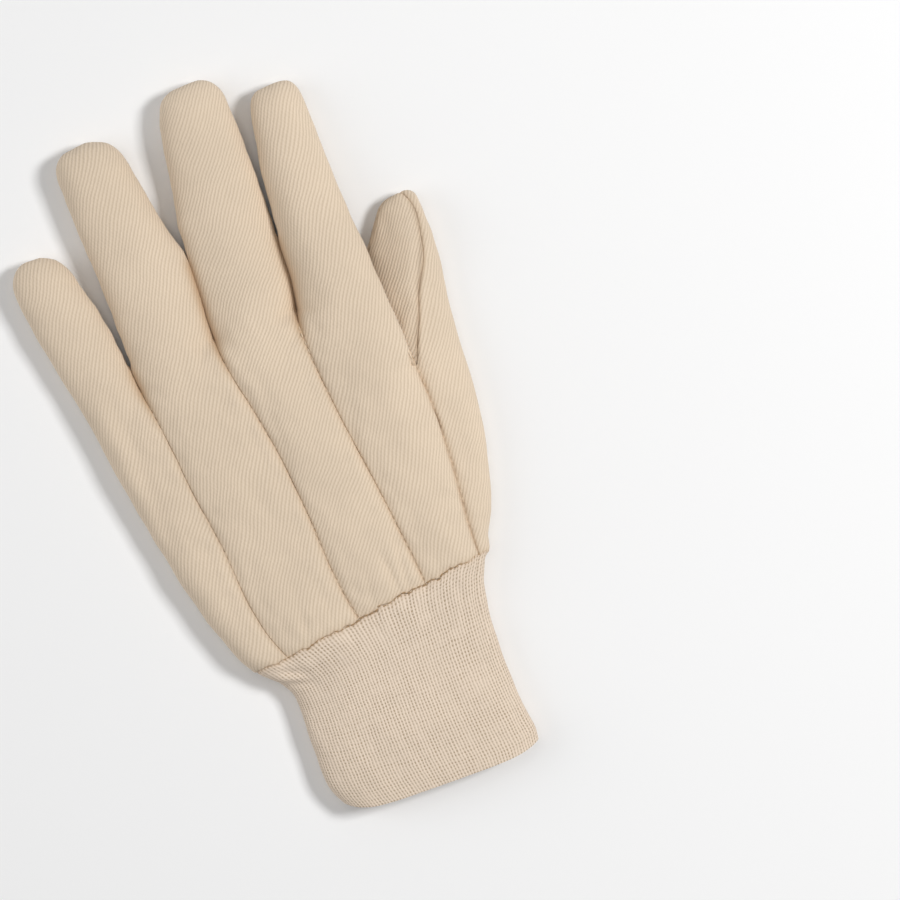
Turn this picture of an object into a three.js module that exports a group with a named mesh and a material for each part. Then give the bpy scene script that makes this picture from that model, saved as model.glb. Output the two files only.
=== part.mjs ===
// Cotton work glove for the left hand, lying on its palm with the thumb folded in under the forefinger.
// Millimetres. X runs across the hand towards the thumb, Y towards the fingertips, Z up through the back.
// Every panel is one piece of cloth: a sheet laid out as a grid of rows along Y and columns round the
// hand, thickened inwards by its wall. The names upper and lower stand for the back and palm side.

import * as THREE from "three";

// Driving sizes along the hand
const HAND_LENGTH = 114.5; // wrist seam to the crotches beside the middle finger
const LITTLE_CROTCH_DROP = 7.5; // how far the little finger's crotch lies below the other two
const THUMB_CROTCH = 76; // wrist seam to the thumb's crotch, on the back
const THUMB_CROTCH_DROP = 6; // how far that crotch lies lower on the palm side
const CUFF_LENGTH = 65; // wrist seam to the knit's hem
const LITTLE_REACH = 48.5; // little finger's crotch to its tip
const RING_REACH = 73.3;
const MIDDLE_REACH = 81.5;
const INDEX_REACH = 71.5;
const THUMB_REACH = 58.8; // thumb's crotch on the back to its tip
const FINGERTIP_LENGTH = 13; // the stretch in which a fingertip rounds off

// Driving sizes across the hand
const HAND_WIDTH = 114; // little finger's edge to the forefinger's edge, at the knuckles
const CUFF_WIDTH = 73; // the knit's waist
const SIDE_TUCK = 5; // how far a finger's seam lies inside its edge, on the palm side

// Driving heights above the surface that the glove rests on
const HAND_HEIGHT = 22; // back of the hand over the palm's middle
const FINGER_HEIGHT = 15; // crown of a finger
const SIDE_HEIGHT = 6.5; // widest line of a finger or of the hand's edge
const CUFF_HEIGHT = 14.5;
const THUMB_HEIGHT = 13;
const THUMB_LIFT = 10.5; // how far the folded thumb lifts the forefinger's base
const WEB_HEIGHT = 3.6; // height of the thumb's crotch on the palm side

// Cloth
const CLOTH_WALL = 1.5;
const KNIT_WALL = 2;
const SEAM_GAP = 0.3; // left between two panels along their seam
const PRESS_GAP = 0.8; // left between two fingers that lie against each other
const CROTCH_CUTBACK = 1.1; // how far the palm stays back from the strips at a crotch
const WRIST_SLANT = 0.155; // rise of the wrist seam along X
const WRIST_PALM_RISE = 4; // how much higher the wrist seam runs in the middle of the palm

// Colours of the cloth and of the knit
const COTTON = new THREE.Color(0.73, 0.58, 0.41);
const KNIT_COTTON = new THREE.Color(0.72, 0.57, 0.45);

// Lines along the hand, as shares of HAND_LENGTH and HAND_WIDTH: the little finger's edge, the seams
// beside the ring, middle and index strips, the forefinger's edge with the thumb seam below it, the
// thumb's edge and the thumb seam on the palm.
const HAND_LINES = [
  { at: 0.0, edge: -0.404, ring: -0.298, middle: -0.053, index: 0.175, thumb: 0.36, radial: 0.393, palm: 0.079 },
  { at: 0.045, edge: -0.437, ring: -0.319, middle: -0.063, index: 0.171, thumb: 0.36, radial: 0.407, palm: 0.08 },
  { at: 0.09, edge: -0.461, ring: -0.338, middle: -0.072, index: 0.167, thumb: 0.361, radial: 0.424, palm: 0.081 },
  { at: 0.175, edge: -0.504, ring: -0.36, middle: -0.083, index: 0.158, thumb: 0.364, radial: 0.447, palm: 0.082 },
  { at: 0.35, edge: -0.548, ring: -0.377, middle: -0.094, index: 0.136, thumb: 0.377, radial: 0.491, palm: 0.082 },
  { at: 0.525, edge: -0.586, ring: -0.404, middle: -0.112, index: 0.11, thumb: 0.38, radial: 0.515, palm: 0.085 },
  { at: 0.665, edge: -0.612, ring: -0.419, middle: -0.137, index: 0.091, thumb: 0.374, radial: 0.524, palm: 0.105 },
  { at: 0.875, edge: -0.645, ring: -0.45, middle: -0.18, index: 0.075, thumb: 0.36, radial: 0.54, palm: 0.16 },
  { at: 1.0, edge: -0.669, ring: -0.461, middle: -0.184, index: 0.096, thumb: 0.351, radial: 0.55, palm: 0.2 },
];

// Sides of each finger from its root up: at as a share of its reach, left and right as shares of its
// width at the root, from the middle of the root.
const LITTLE_SIDES = [
  { at: 0.1, left: -0.549, right: 0.469 },
  { at: 0.31, left: -0.637, right: 0.403 },
  { at: 0.5, left: -0.726, right: 0.336 },
  { at: 0.74, left: -0.8, right: 0.181 },
  { at: 1.0, left: -0.792, right: 0.049 },
];
const RING_SIDES = [
  { at: 0.08, left: -0.49, right: 0.5 },
  { at: 0.34, left: -0.506, right: 0.506 },
  { at: 0.49, left: -0.523, right: 0.406 },
  { at: 0.63, left: -0.539, right: 0.338 },
  { at: 0.77, left: -0.558, right: 0.27 },
  { at: 1.0, left: -0.578, right: 0.167 },
];
const MIDDLE_SIDES = [
  { at: 0.07, left: -0.487, right: 0.519 },
  { at: 0.3, left: -0.478, right: 0.522 },
  { at: 0.44, left: -0.453, right: 0.531 },
  { at: 0.56, left: -0.406, right: 0.534 },
  { at: 0.68, left: -0.353, right: 0.538 },
  { at: 0.8, left: -0.303, right: 0.519 },
  { at: 1.0, left: -0.234, right: 0.487 },
];
const INDEX_SIDES = [
  { at: 0.08, left: -0.473, right: 0.483 },
  { at: 0.22, left: -0.466, right: 0.455 },
  { at: 0.39, left: -0.438, right: 0.428 },
  { at: 0.64, left: -0.393, right: 0.397 },
  { at: 0.78, left: -0.342, right: 0.39 },
  { at: 1.0, left: -0.256, right: 0.356 },
];

// Crown of each strip as a share of HAND_HEIGHT, at a share of HAND_LENGTH; the fingers go on from there.
const CROWNS = [
  { at: 0.0, little: 0.6, ring: 0.7, middle: 0.73, index: 0.71 },
  { at: 0.26, little: 0.64, ring: 0.8, middle: 0.87, index: 0.88 },
  { at: 0.53, little: 0.65, ring: 0.84, middle: 0.95, index: 1.0 },
  { at: 0.8, little: 0.64, ring: 0.81, middle: 0.94, index: 1.09 },
  { at: 1.0, little: 0.63, ring: 0.73, middle: 0.8, index: 1.04 },
];
const INDEX_CROWN_FALL = [
  { at: 0.22, crown: 0.94 },
  { at: 0.5, crown: 0.77 },
  { at: 0.8, crown: 0.66 },
  { at: 1.0, crown: 0.64 },
];
// How far the forefinger's underside is lifted beyond the thumb's crotch, as shares of THUMB_LIFT.
const INDEX_LIFT = [
  { at: 0.0, lift: 1.35 },
  { at: 0.1, lift: 1.18 },
  { at: 0.25, lift: 1.0 },
  { at: 0.36, lift: 0.95 },
  { at: 0.5, lift: 0.68 },
  { at: 0.66, lift: 0.3 },
  { at: 0.85, lift: 0.0 },
  { at: 1.0, lift: 0.0 },
];

// Thumb from its crotch to its tip: at as a share of its reach, the edges and the seam on its back as
// shares of HAND_WIDTH, the seam's height as a share of THUMB_HEIGHT.
const THUMB_LINES = [
  { at: 0.0, left: 0.105, right: 0.524, seam: 0.374, height: 1.2 },
  { at: 0.1, left: 0.168, right: 0.526, seam: 0.393, height: 1.14 },
  { at: 0.24, left: 0.211, right: 0.529, seam: 0.425, height: 1.06 },
  { at: 0.41, left: 0.233, right: 0.539, seam: 0.456, height: 1.0 },
  { at: 0.58, left: 0.282, right: 0.551, seam: 0.503, height: 0.98 },
  { at: 0.75, left: 0.345, right: 0.5555, seam: 0.522, height: 0.97 },
  { at: 0.87, left: 0.39, right: 0.555, seam: 0.529, height: 0.95 },
  { at: 1.0, left: 0.43, right: 0.553, seam: 0.52, height: 0.92 },
];

// Knit below the wrist seam, down to its hem: at as a share of CUFF_LENGTH, edges as shares of CUFF_WIDTH.
const CUFF_LINES = [
  { at: 0.06, left: -0.582, right: 0.572, height: 1.08 },
  { at: 0.13, left: -0.538, right: 0.54, height: 1.03 },
  { at: 0.22, left: -0.508, right: 0.52, height: 0.98 },
  { at: 0.4, left: -0.496, right: 0.505, height: 0.94 },
  { at: 0.65, left: -0.497, right: 0.513, height: 0.96 },
  { at: 0.85, left: -0.492, right: 0.532, height: 1.0 },
  { at: 0.93, left: -0.478, right: 0.54, height: 1.0 },
  { at: 1.0, left: -0.45, right: 0.534, height: 0.98 },
];

// Turn of a strip's edge at a shallow seam, where 0 is the crown, 1 the side and 2 the underside
const BACK_SEAM_TURN = 0.32;
const THUMB_SEAM_TURN = 0.6;
const UNDER_TURN = 2;
const CROTCH_RUN = 22; // length in which a back seam sinks between two fingers
const CROTCH_POWER = 3; // how late in that length it sinks
const CROTCH_EASE = 3; // length beyond a crotch in which the palm's seam comes free of it
const FINGER_RUN = 15; // length in which the line beside the thumb passes on to the forefinger
const THUMB_SIDE_RUN = 18; // length in which the forefinger's edge rounds off above the thumb
const WRIST_FADE = 26; // length in which the rows straighten above the slanted wrist seam
const PRESS_START_TURN = 0.6; // turns between which the edges of two fingers part
const PRESS_END_TURN = 1.3;

// Roundness of the closing fingertips: 2 is an ellipse, more is squarer
const TIP_WIDTH_POWER = 3;
const TIP_TOP_POWER = 2.2;
const TIP_FLOOR_POWER = 4;

// Shares that place the palm's lines and the folded thumb
const DIP_START = 0.55; // of THUMB_CROTCH, where the rows start to dip towards the thumb's crotch
const DIP_RUN = 4; // times THUMB_CROTCH_DROP, in which they level out beyond it
const WEB_START = 0.7; // of THUMB_CROTCH, where the palm's edge starts to rise
const SPREAD_START = 0.4; // of THUMB_CROTCH, where the palm's lines start to spread
const WEB_SHARE = 0.4; // of the forefinger's width, where the line beside the thumb runs on
const FOREFINGER_SIDE = 0.45; // height of the forefinger's side, from its underside to its crown
const THUMB_EDGE_START = 0.6; // of THUMB_REACH, where the thumb's hidden edge starts to thicken
const THUMB_EDGE_END = 0.85;
const THUMB_PRESSED = 0.5; // lowest share of its height that the thumb is pressed to
const THUMB_CORNER = 1 / 3; // widest share of the thumb that its hidden corner takes

// Form of the knit
const CUFF_BLEND = 0.25; // of CUFF_LENGTH, where the knit has left the hand's form
const CUFF_LEVEL = 0.6; // of CUFF_LENGTH, where its rows have levelled out
const CUFF_BOW_POWER = 2.4; // roundness of its upper side
const CUFF_CORNER_SHARE = 12; // steepness of its lower corners
const HEM_RISE = 5; // how far the hem curls up at its end towards the little finger
const THUMB_HEM_RISE = 2; // and at its end towards the thumb
const HEM_POWER = 6;

// Facets
const STRIP_COLUMNS = 8;
const LOWER_COLUMNS = 3;
const WEB_COLUMNS = 4;
const QUARTER_COLUMNS = 2;
const THUMB_TOP_COLUMNS = 4;
const ROW_STEP = 9;
const TIP_ROWS = [0.3, 0.55, 0.75, 0.9, 0.975, 1];
const CUFF_ROWS = [1, 0.93, 0.85, 0.7, 0.53, 0.37, 0.25, 0.15, 0.07, 0];

const clamp = THREE.MathUtils.clamp;
const mix = THREE.MathUtils.lerp;
const ramp = (value, from, to) => THREE.MathUtils.smoothstep(value, from, to);
const QUARTER = Math.PI / 2;

// A smooth line through rows of a table, read at any place along it.
function smoothLine(places, values) {
  const last = places.length - 1;
  const slope = (index) => {
    const before = Math.max(index - 1, 0);
    const after = Math.min(index + 1, last);
    return (values[after] - values[before]) / (places[after] - places[before]);
  };
  return (place) => {
    const inside = clamp(place, places[0], places[last]);
    let index = 0;
    while (index < last - 1 && places[index + 1] < inside) index += 1;
    const span = places[index + 1] - places[index];
    const t = (inside - places[index]) / span;
    const t2 = t * t;
    const t3 = t2 * t;
    const from = values[index] * (2 * t3 - 3 * t2 + 1) + slope(index) * span * (t3 - 2 * t2 + t);
    return from + values[index + 1] * (3 * t2 - 2 * t3) + slope(index + 1) * span * (t3 - t2);
  };
}

function tableLine(rows, column, placeSize, valueSize) {
  const places = rows.map((row) => row.at * placeSize);
  const values = rows.map((row) => row[column] * valueSize);
  return smoothLine(places, values);
}

// Numbers from one place to another in equal steps, without the first.
function spread(from, to, count) {
  return Array.from({ length: count }, (_, index) => mix(from, to, (index + 1) / count));
}

const handLine = (column) => tableLine(HAND_LINES, column, HAND_LENGTH, HAND_WIDTH);
const THUMB_SEAM_LINE = handLine("thumb");
const RADIAL_LINE = handLine("radial");
const PALM_SEAM_LINE = handLine("palm");
const LITTLE_CROTCH = HAND_LENGTH - LITTLE_CROTCH_DROP;

// The line of one side of a finger: the hand's line up to the crotch, then the finger's own.
function fingerSide(handColumn, crotch, root, reach, sides, sideColumn, middle, width) {
  const places = [];
  const values = [];
  const onHand = handLine(handColumn);
  for (const row of HAND_LINES) {
    if (row.at * HAND_LENGTH < crotch - SIDE_TUCK) {
      places.push(row.at * HAND_LENGTH);
      values.push(row[handColumn] * HAND_WIDTH);
    }
  }
  places.push(crotch);
  values.push(onHand(crotch));
  for (const row of sides) {
    places.push(root + row.at * reach);
    values.push(middle + row[sideColumn] * width);
  }
  return smoothLine(places, values);
}

// One strip of the back with the finger that it runs into.
function makeFinger(form) {
  const leftRoot = handLine(form.leftLine)(form.root);
  const rightRoot = handLine(form.rightLine)(form.root);
  const middle = (leftRoot + rightRoot) / 2;
  const width = rightRoot - leftRoot;
  const side = (column, line, crotch) =>
    fingerSide(line, crotch, form.root, form.reach, form.sides, column, middle, width);
  const onHand = CROWNS.filter((row) => row.at * HAND_LENGTH <= form.root);
  const crownPlaces = onHand.map((row) => row.at * HAND_LENGTH);
  const crownValues = onHand.map((row) => row[form.name] * HAND_HEIGHT);
  for (const row of form.crownFall) {
    crownPlaces.push(form.root + row.at * form.reach);
    crownValues.push(row.crown);
  }
  return {
    ...form,
    tip: form.root + form.reach,
    capStart: form.root + form.reach - FINGERTIP_LENGTH,
    leftSide: side("left", form.leftLine, form.leftCrotch),
    rightSide: side("right", form.rightLine, form.rightCrotch),
    crownLine: smoothLine(crownPlaces, crownValues),
  };
}

const PLAIN_FALL = [
  { at: 0.15, crown: FINGER_HEIGHT },
  { at: 1.0, crown: FINGER_HEIGHT },
];
const LITTLE_FALL = [
  { at: 0.2, crown: FINGER_HEIGHT * 0.92 },
  { at: 1.0, crown: FINGER_HEIGHT * 0.9 },
];
const INDEX_FALL = INDEX_CROWN_FALL.map((row) => ({ at: row.at, crown: row.crown * HAND_HEIGHT }));

const FINGERS = [
  makeFinger({
    name: "little", root: LITTLE_CROTCH, reach: LITTLE_REACH, sides: LITTLE_SIDES, crownFall: LITTLE_FALL,
    leftLine: "edge", rightLine: "ring", leftCrotch: LITTLE_CROTCH, rightCrotch: LITTLE_CROTCH,
    inBody: true,
  }),
  makeFinger({
    name: "ring", root: HAND_LENGTH, reach: RING_REACH, sides: RING_SIDES, crownFall: PLAIN_FALL,
    leftLine: "ring", rightLine: "middle", leftCrotch: LITTLE_CROTCH, rightCrotch: HAND_LENGTH,
    inBody: false,
  }),
  makeFinger({
    name: "middle", root: HAND_LENGTH, reach: MIDDLE_REACH, sides: MIDDLE_SIDES, crownFall: PLAIN_FALL,
    leftLine: "middle", rightLine: "index", leftCrotch: HAND_LENGTH, rightCrotch: HAND_LENGTH,
    inBody: false,
  }),
  makeFinger({
    name: "index", root: HAND_LENGTH, reach: INDEX_REACH, sides: INDEX_SIDES, crownFall: INDEX_FALL,
    leftLine: "index", rightLine: "thumb", leftCrotch: HAND_LENGTH, rightCrotch: THUMB_CROTCH,
    inBody: true,
  }),
];

const INDEX_TIP = HAND_LENGTH + INDEX_REACH;
const indexLift = tableLine(INDEX_LIFT, "lift", INDEX_TIP - THUMB_CROTCH, THUMB_LIFT);

// How a fingertip closes: 1 where it starts to round off, 0 at its end.
function capShare(finger, y, power) {
  const t = clamp((y - finger.capStart) / (finger.tip - finger.capStart), 0, 1);
  return Math.pow(Math.max(1 - Math.pow(t, power), 0), 1 / power);
}

// Turn of the strip's edge at a row: shallow on the hand, under the finger beyond its crotch.
function edgeTurn(index, side, y) {
  if (index === 0 && side < 0) return UNDER_TURN;
  if (index === 3 && side > 0) {
    return mix(THUMB_SEAM_TURN, UNDER_TURN, clamp((y - THUMB_CROTCH) / THUMB_SIDE_RUN, 0, 1));
  }
  const crotch = side < 0 ? FINGERS[index].leftCrotch : FINGERS[index].rightCrotch;
  const share = clamp((y - crotch + CROTCH_RUN) / CROTCH_RUN, 0, 1);
  return mix(BACK_SEAM_TURN, UNDER_TURN, share ** CROTCH_POWER);
}

// Sizes of one half of a strip's section at a row, from its crown out to one side.
function halfForm(index, side, y, raised) {
  const finger = FINGERS[index];
  const outer = (index === 0 && side < 0) || (index === 3 && side > 0);
  const left = finger.leftSide(y);
  const right = finger.rightSide(y);
  const capWidth = capShare(finger, y, TIP_WIDTH_POWER);
  const capTop = capShare(finger, y, TIP_TOP_POWER);
  const capFloor = capShare(finger, y, TIP_FLOOR_POWER);
  const turn = edgeTurn(index, side, y);
  const crotch = side < 0 ? finger.leftCrotch : finger.rightCrotch;
  const inset = outer ? 0 : (PRESS_GAP / 2) * ramp(turn, PRESS_START_TURN, PRESS_END_TURN);
  let tuck = SIDE_TUCK * ramp(y, crotch, crotch + 2 * SIDE_TUCK);
  if (index === 0 && side < 0) tuck = SIDE_TUCK;
  if (!raised && !outer) tuck -= inset * (1 - clamp((y - crotch) / CROTCH_EASE, 0, 1));
  const lift = index === 3 && y > THUMB_CROTCH ? Math.max(indexLift(y - THUMB_CROTCH), 0) : 0;
  const floor = side > 0 ? lift : 0;
  const ownCrown = finger.crownLine(y);
  const neighbour = FINGERS[index + side];
  const seamCrown = neighbour ? (ownCrown + neighbour.crownLine(y)) / 2 : ownCrown;
  const byTheThumb = index === 3 && side > 0;
  const sideHeight = byTheThumb && lift > 0 ? mix(floor, ownCrown, FOREFINGER_SIDE) : SIDE_HEIGHT;
  const shownTurn = byTheThumb ? THUMB_SEAM_TURN : Math.min(turn, 1);
  let seamHeight = mix(SIDE_HEIGHT, seamCrown, Math.cos(shownTurn * QUARTER));
  if (byTheThumb) seamHeight = mix(seamHeight, sideHeight, ramp(turn, THUMB_SEAM_TURN, 1));
  const strand = raised ? (CLOTH_WALL + 2 * SEAM_GAP) * (1 - ramp(y, crotch, crotch + SIDE_TUCK + 1)) : 0;
  return {
    middle: (left + right) / 2,
    half: ((right - left) / 2 - inset) * capWidth,
    turn,
    crown: mix(SIDE_HEIGHT, ownCrown, capTop),
    side: mix(SIDE_HEIGHT, sideHeight, capTop),
    seam: seamHeight,
    floor: mix(SIDE_HEIGHT, floor + strand, capFloor),
    tuck: tuck * capWidth,
  };
}

// Point of a half section: share 0 is the crown, 1 the strip's edge.
function halfPoint(form, side, share) {
  const turn = share * form.turn;
  let reach;
  let z;
  if (form.turn <= 1) {
    reach = (form.half * Math.sin(turn * QUARTER)) / Math.sin(form.turn * QUARTER);
    const fall = (1 - Math.cos(turn * QUARTER)) / (1 - Math.cos(form.turn * QUARTER));
    z = mix(form.crown, form.seam, fall);
  } else if (turn <= 1) {
    reach = form.half * Math.sin(turn * QUARTER);
    z = mix(form.side, form.crown, Math.cos(turn * QUARTER));
  } else {
    reach = form.half - form.tuck * (1 - Math.cos((turn - 1) * QUARTER));
    z = mix(form.side, form.floor, Math.sin((turn - 1) * QUARTER));
  }
  return { x: form.middle + side * reach, z };
}

// Rows slant with the wrist seam near it, and straighten further up.
function wristShift(x, y, onPalm) {
  const middle = (FINGERS[0].leftSide(0) + RADIAL_LINE(0)) / 2;
  const half = (RADIAL_LINE(0) - FINGERS[0].leftSide(0)) / 2 - SIDE_TUCK;
  const arch = Math.max(1 - Math.pow((x - middle) / half, 2), 0);
  const rise = onPalm ? WRIST_PALM_RISE * arch : 0;
  return (WRIST_SLANT * x + rise) * (1 - ramp(y, 0, WRIST_FADE));
}

function place(x, y, z, onPalm) {
  return new THREE.Vector3(x, y + wristShift(x, y, onPalm), z);
}

// How far the rows dip towards the thumb's crotch on the palm side.
function crotchDip(y) {
  const below = ramp(y, THUMB_CROTCH * DIP_START, THUMB_CROTCH);
  const above = 1 - ramp(y, THUMB_CROTCH, THUMB_CROTCH + DIP_RUN * THUMB_CROTCH_DROP);
  return THUMB_CROTCH_DROP * (y < THUMB_CROTCH ? below : above);
}

// Height of the palm's edge at the thumb seam, and of the line above it beside the thumb.
function webSideHeight(y) {
  const below = ramp(y, THUMB_CROTCH * WEB_START, THUMB_CROTCH);
  const above = 1 - ramp(y, THUMB_CROTCH, HAND_LENGTH);
  return WEB_HEIGHT * (y < THUMB_CROTCH ? below : above);
}

// Rows of the hand that every strip shares, then those of one finger alone.
const HAND_ROWS = [
  0,
  ...spread(0, THUMB_CROTCH, Math.round(THUMB_CROTCH / ROW_STEP)),
  ...spread(THUMB_CROTCH, LITTLE_CROTCH - CROTCH_RUN, 2),
  ...spread(LITTLE_CROTCH - CROTCH_RUN, LITTLE_CROTCH, 6),
  ...spread(LITTLE_CROTCH, HAND_LENGTH, 3),
  HAND_LENGTH + SIDE_TUCK / 2,
  HAND_LENGTH + SIDE_TUCK + 1,
];

function rowsOf(finger) {
  const last = HAND_ROWS[HAND_ROWS.length - 1];
  const plain = Math.max(Math.round((finger.capStart - last) / ROW_STEP), 2);
  const cap = TIP_ROWS.map((t) => mix(finger.capStart, finger.tip, t));
  return [...HAND_ROWS, ...spread(last, finger.capStart, plain), ...cap];
}

// The back of one strip, from its left edge over its crown to its right edge.
function upperPatch(index) {
  const finger = FINGERS[index];
  return rowsOf(finger).map((y) => {
    const row = [];
    for (let column = -STRIP_COLUMNS / 2; column <= STRIP_COLUMNS / 2; column += 1) {
      const side = column < 0 ? -1 : 1;
      const form = halfForm(index, side, y, !finger.inBody);
      const point = halfPoint(form, side, Math.abs(column) / (STRIP_COLUMNS / 2));
      row.push(place(point.x, y, point.z, false));
    }
    return row;
  });
}

// Line on the palm that runs down from a crotch, given the finger on its right, and spreads evenly.
function underLine(index, y) {
  const left = halfPoint(halfForm(0, -1, y, false), -1, 1).x;
  const right = PALM_SEAM_LINE(Math.min(y, THUMB_CROTCH));
  const even = mix(left, right, index / FINGERS.length);
  const crotch = FINGERS[index].leftCrotch;
  return mix(even, FINGERS[index].leftSide(crotch), ramp(y, THUMB_CROTCH * SPREAD_START, crotch));
}

// Edge of the palm under one side of a strip: that line below its crotch, the finger's seam beyond it.
function lowerEdge(index, side, y) {
  const finger = FINGERS[index];
  const crotch = side < 0 ? finger.leftCrotch : finger.rightCrotch;
  const outer = (index === 0 && side < 0) || (index === 3 && side > 0);
  if (y < crotch && !outer) return { x: underLine(side < 0 ? index : index + 1, y), z: 0 };
  return halfPoint(halfForm(index, side, y, false), side, 1);
}

// The palm under one strip.
function lowerPatch(index) {
  return rowsOf(FINGERS[index]).map((y) => {
    const left = lowerEdge(index, -1, y);
    const right = lowerEdge(index, 1, y);
    const row = [];
    for (let column = 0; column <= LOWER_COLUMNS; column += 1) {
      const share = column / LOWER_COLUMNS;
      row.push(place(mix(left.x, right.x, share), y, mix(left.z, right.z, share), true));
    }
    return row;
  });
}

// Line that runs on above the thumb seam of the palm, beside the folded thumb.
function webLine(y) {
  const left = lowerEdge(3, -1, y);
  if (y <= THUMB_CROTCH) return { x: PALM_SEAM_LINE(y), z: webSideHeight(y) };
  const right = lowerEdge(3, 1, y);
  const start = PALM_SEAM_LINE(THUMB_CROTCH);
  const share = ramp(y, THUMB_CROTCH, HAND_LENGTH);
  const x = mix(start, mix(left.x, right.x, WEB_SHARE), share);
  const onFinger = ramp(y, HAND_LENGTH - FINGER_RUN, HAND_LENGTH + FINGER_RUN);
  return { x, z: mix(webSideHeight(y), mix(left.z, right.z, WEB_SHARE), onFinger) };
}

// The palm below the forefinger, as far as the thumb seam and the line above it.
function palmRootPatch() {
  return rowsOf(FINGERS[3]).map((y) => {
    const left = lowerEdge(3, -1, y);
    const right = webLine(y);
    const row = [];
    for (let column = 0; column <= LOWER_COLUMNS; column += 1) {
      const share = column / LOWER_COLUMNS;
      const z = mix(left.z, right.z, share * share);
      row.push(place(mix(left.x, right.x, share), y - crotchDip(y) * share, z, true));
    }
    return row;
  });
}

// The palm above the folded thumb, from that line to the forefinger's outer side.
function webPatch() {
  return rowsOf(FINGERS[3]).filter((y) => y >= THUMB_CROTCH).map((y) => {
    const left = webLine(y);
    const right = halfPoint(halfForm(3, 1, y, false), 1, 1);
    const row = [];
    for (let column = 0; column <= WEB_COLUMNS; column += 1) {
      const share = column / WEB_COLUMNS;
      const dip = crotchDip(y) * (1 - share);
      row.push(place(mix(left.x, right.x, share), y - dip, mix(left.z, right.z, share), true));
    }
    return row;
  });
}

// Thumb
const thumbLine = (column, size) => tableLine(THUMB_LINES, column, THUMB_REACH, size);
const THUMB_LEFT = thumbLine("left", HAND_WIDTH);
const THUMB_RIGHT = thumbLine("right", HAND_WIDTH);
const THUMB_SEAM = thumbLine("seam", HAND_WIDTH);
const THUMB_SEAM_HEIGHT = thumbLine("height", THUMB_HEIGHT);
const THUMB = { capStart: THUMB_CROTCH + THUMB_REACH - FINGERTIP_LENGTH, tip: THUMB_CROTCH + THUMB_REACH };
const THUMB_ROWS = [
  ...spread(THUMB_CROTCH, THUMB.capStart, 6),
  ...TIP_ROWS.map((t) => mix(THUMB.capStart, THUMB.tip, t)),
];

// Sizes of the thumb's section at a row: below its crotch it is part of the hand.
function thumbForm(y) {
  if (y <= THUMB_CROTCH) {
    const seam = halfPoint(halfForm(3, 1, y, false), 1, 1);
    return {
      left: PALM_SEAM_LINE(y),
      leftHeight: webSideHeight(y),
      right: RADIAL_LINE(y),
      side: SIDE_HEIGHT,
      floor: 0,
      seam: seam.x,
      seamHeight: seam.z,
      tuck: SIDE_TUCK,
      dip: crotchDip(y),
    };
  }
  const along = y - THUMB_CROTCH;
  const capWidth = capShare(THUMB, y, TIP_WIDTH_POWER);
  const capTop = capShare(THUMB, y, TIP_TOP_POWER);
  const capFloor = capShare(THUMB, y, TIP_FLOOR_POWER);
  const middle = (THUMB_LEFT(along) + THUMB_RIGHT(along)) / 2;
  const start = halfPoint(halfForm(3, 1, THUMB_CROTCH, false), 1, 1);
  const joined = 1 - ramp(y, THUMB_CROTCH, THUMB_CROTCH + ROW_STEP);
  const thickens = ramp(along, THUMB_EDGE_START * THUMB_REACH, THUMB_EDGE_END * THUMB_REACH);
  const leftHeight = mix(WEB_HEIGHT, SIDE_HEIGHT, thickens);
  const across = (x) => middle + (x - middle) * capWidth;
  return {
    left: across(THUMB_LEFT(along)),
    leftHeight: mix(SIDE_HEIGHT, leftHeight, capTop),
    right: across(THUMB_RIGHT(along)),
    side: SIDE_HEIGHT,
    floor: mix(SIDE_HEIGHT, 0, capFloor),
    seam: across(THUMB_SEAM(along)),
    seamHeight: mix(SIDE_HEIGHT, mix(THUMB_SEAM_HEIGHT(along), start.z, joined), capTop),
    tuck: SIDE_TUCK * capWidth,
    dip: THUMB_CROTCH_DROP * (1 - along / THUMB_REACH),
  };
}

// The outer panel: from the seam on the back round the thumb's edge and under it to the other seam.
function thumbOuterPatch() {
  const rows = [...HAND_ROWS.filter((y) => y <= THUMB_CROTCH), ...THUMB_ROWS];
  return rows.map((y) => {
    const form = thumbForm(y);
    const row = [];
    for (let column = 0; column <= THUMB_TOP_COLUMNS; column += 1) {
      const angle = (column / THUMB_TOP_COLUMNS) * QUARTER;
      const x = mix(form.seam, form.right, Math.sin(angle));
      row.push(place(x, y, mix(form.side, form.seamHeight, Math.cos(angle)), false));
    }
    for (let column = 1; column <= QUARTER_COLUMNS; column += 1) {
      const angle = (column / QUARTER_COLUMNS) * QUARTER;
      const x = form.right - form.tuck * (1 - Math.cos(angle));
      row.push(place(x, y, mix(form.side, form.floor, Math.sin(angle)), true));
    }
    const from = form.right - form.tuck;
    const to = form.left + Math.min(WEB_HEIGHT, (form.right - form.left) * THUMB_CORNER);
    const breadth = Math.max(form.right - form.left, SEAM_GAP);
    for (let column = 1; column <= LOWER_COLUMNS; column += 1) {
      const share = column / LOWER_COLUMNS;
      const slant = (from - mix(from, to, share)) / breadth;
      row.push(place(mix(from, to, share), y - form.dip * slant, form.floor, true));
    }
    for (let column = 1; column <= QUARTER_COLUMNS; column += 1) {
      const angle = (column / QUARTER_COLUMNS) * QUARTER;
      const x = mix(to, form.left, Math.sin(angle));
      const z = mix(form.leftHeight, form.floor, Math.cos(angle));
      const share = column / QUARTER_COLUMNS;
      const slant = mix((from - to) / breadth, 1, share);
      row.push(place(x, y - form.dip * slant, z, true));
    }
    return row;
  });
}

// Underside of the hand above the thumb, which the thumb stays clear of.
function coverHeight(x, y) {
  const left = webLine(y);
  const form = halfForm(3, 1, y, false);
  const right = halfPoint(form, 1, 1);
  const share = clamp((x - left.x) / (right.x - left.x), 0, 1);
  const edge = form.middle + form.half;
  return mix(left.z, right.z, share) + Math.max(x - edge, 0);
}

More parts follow.
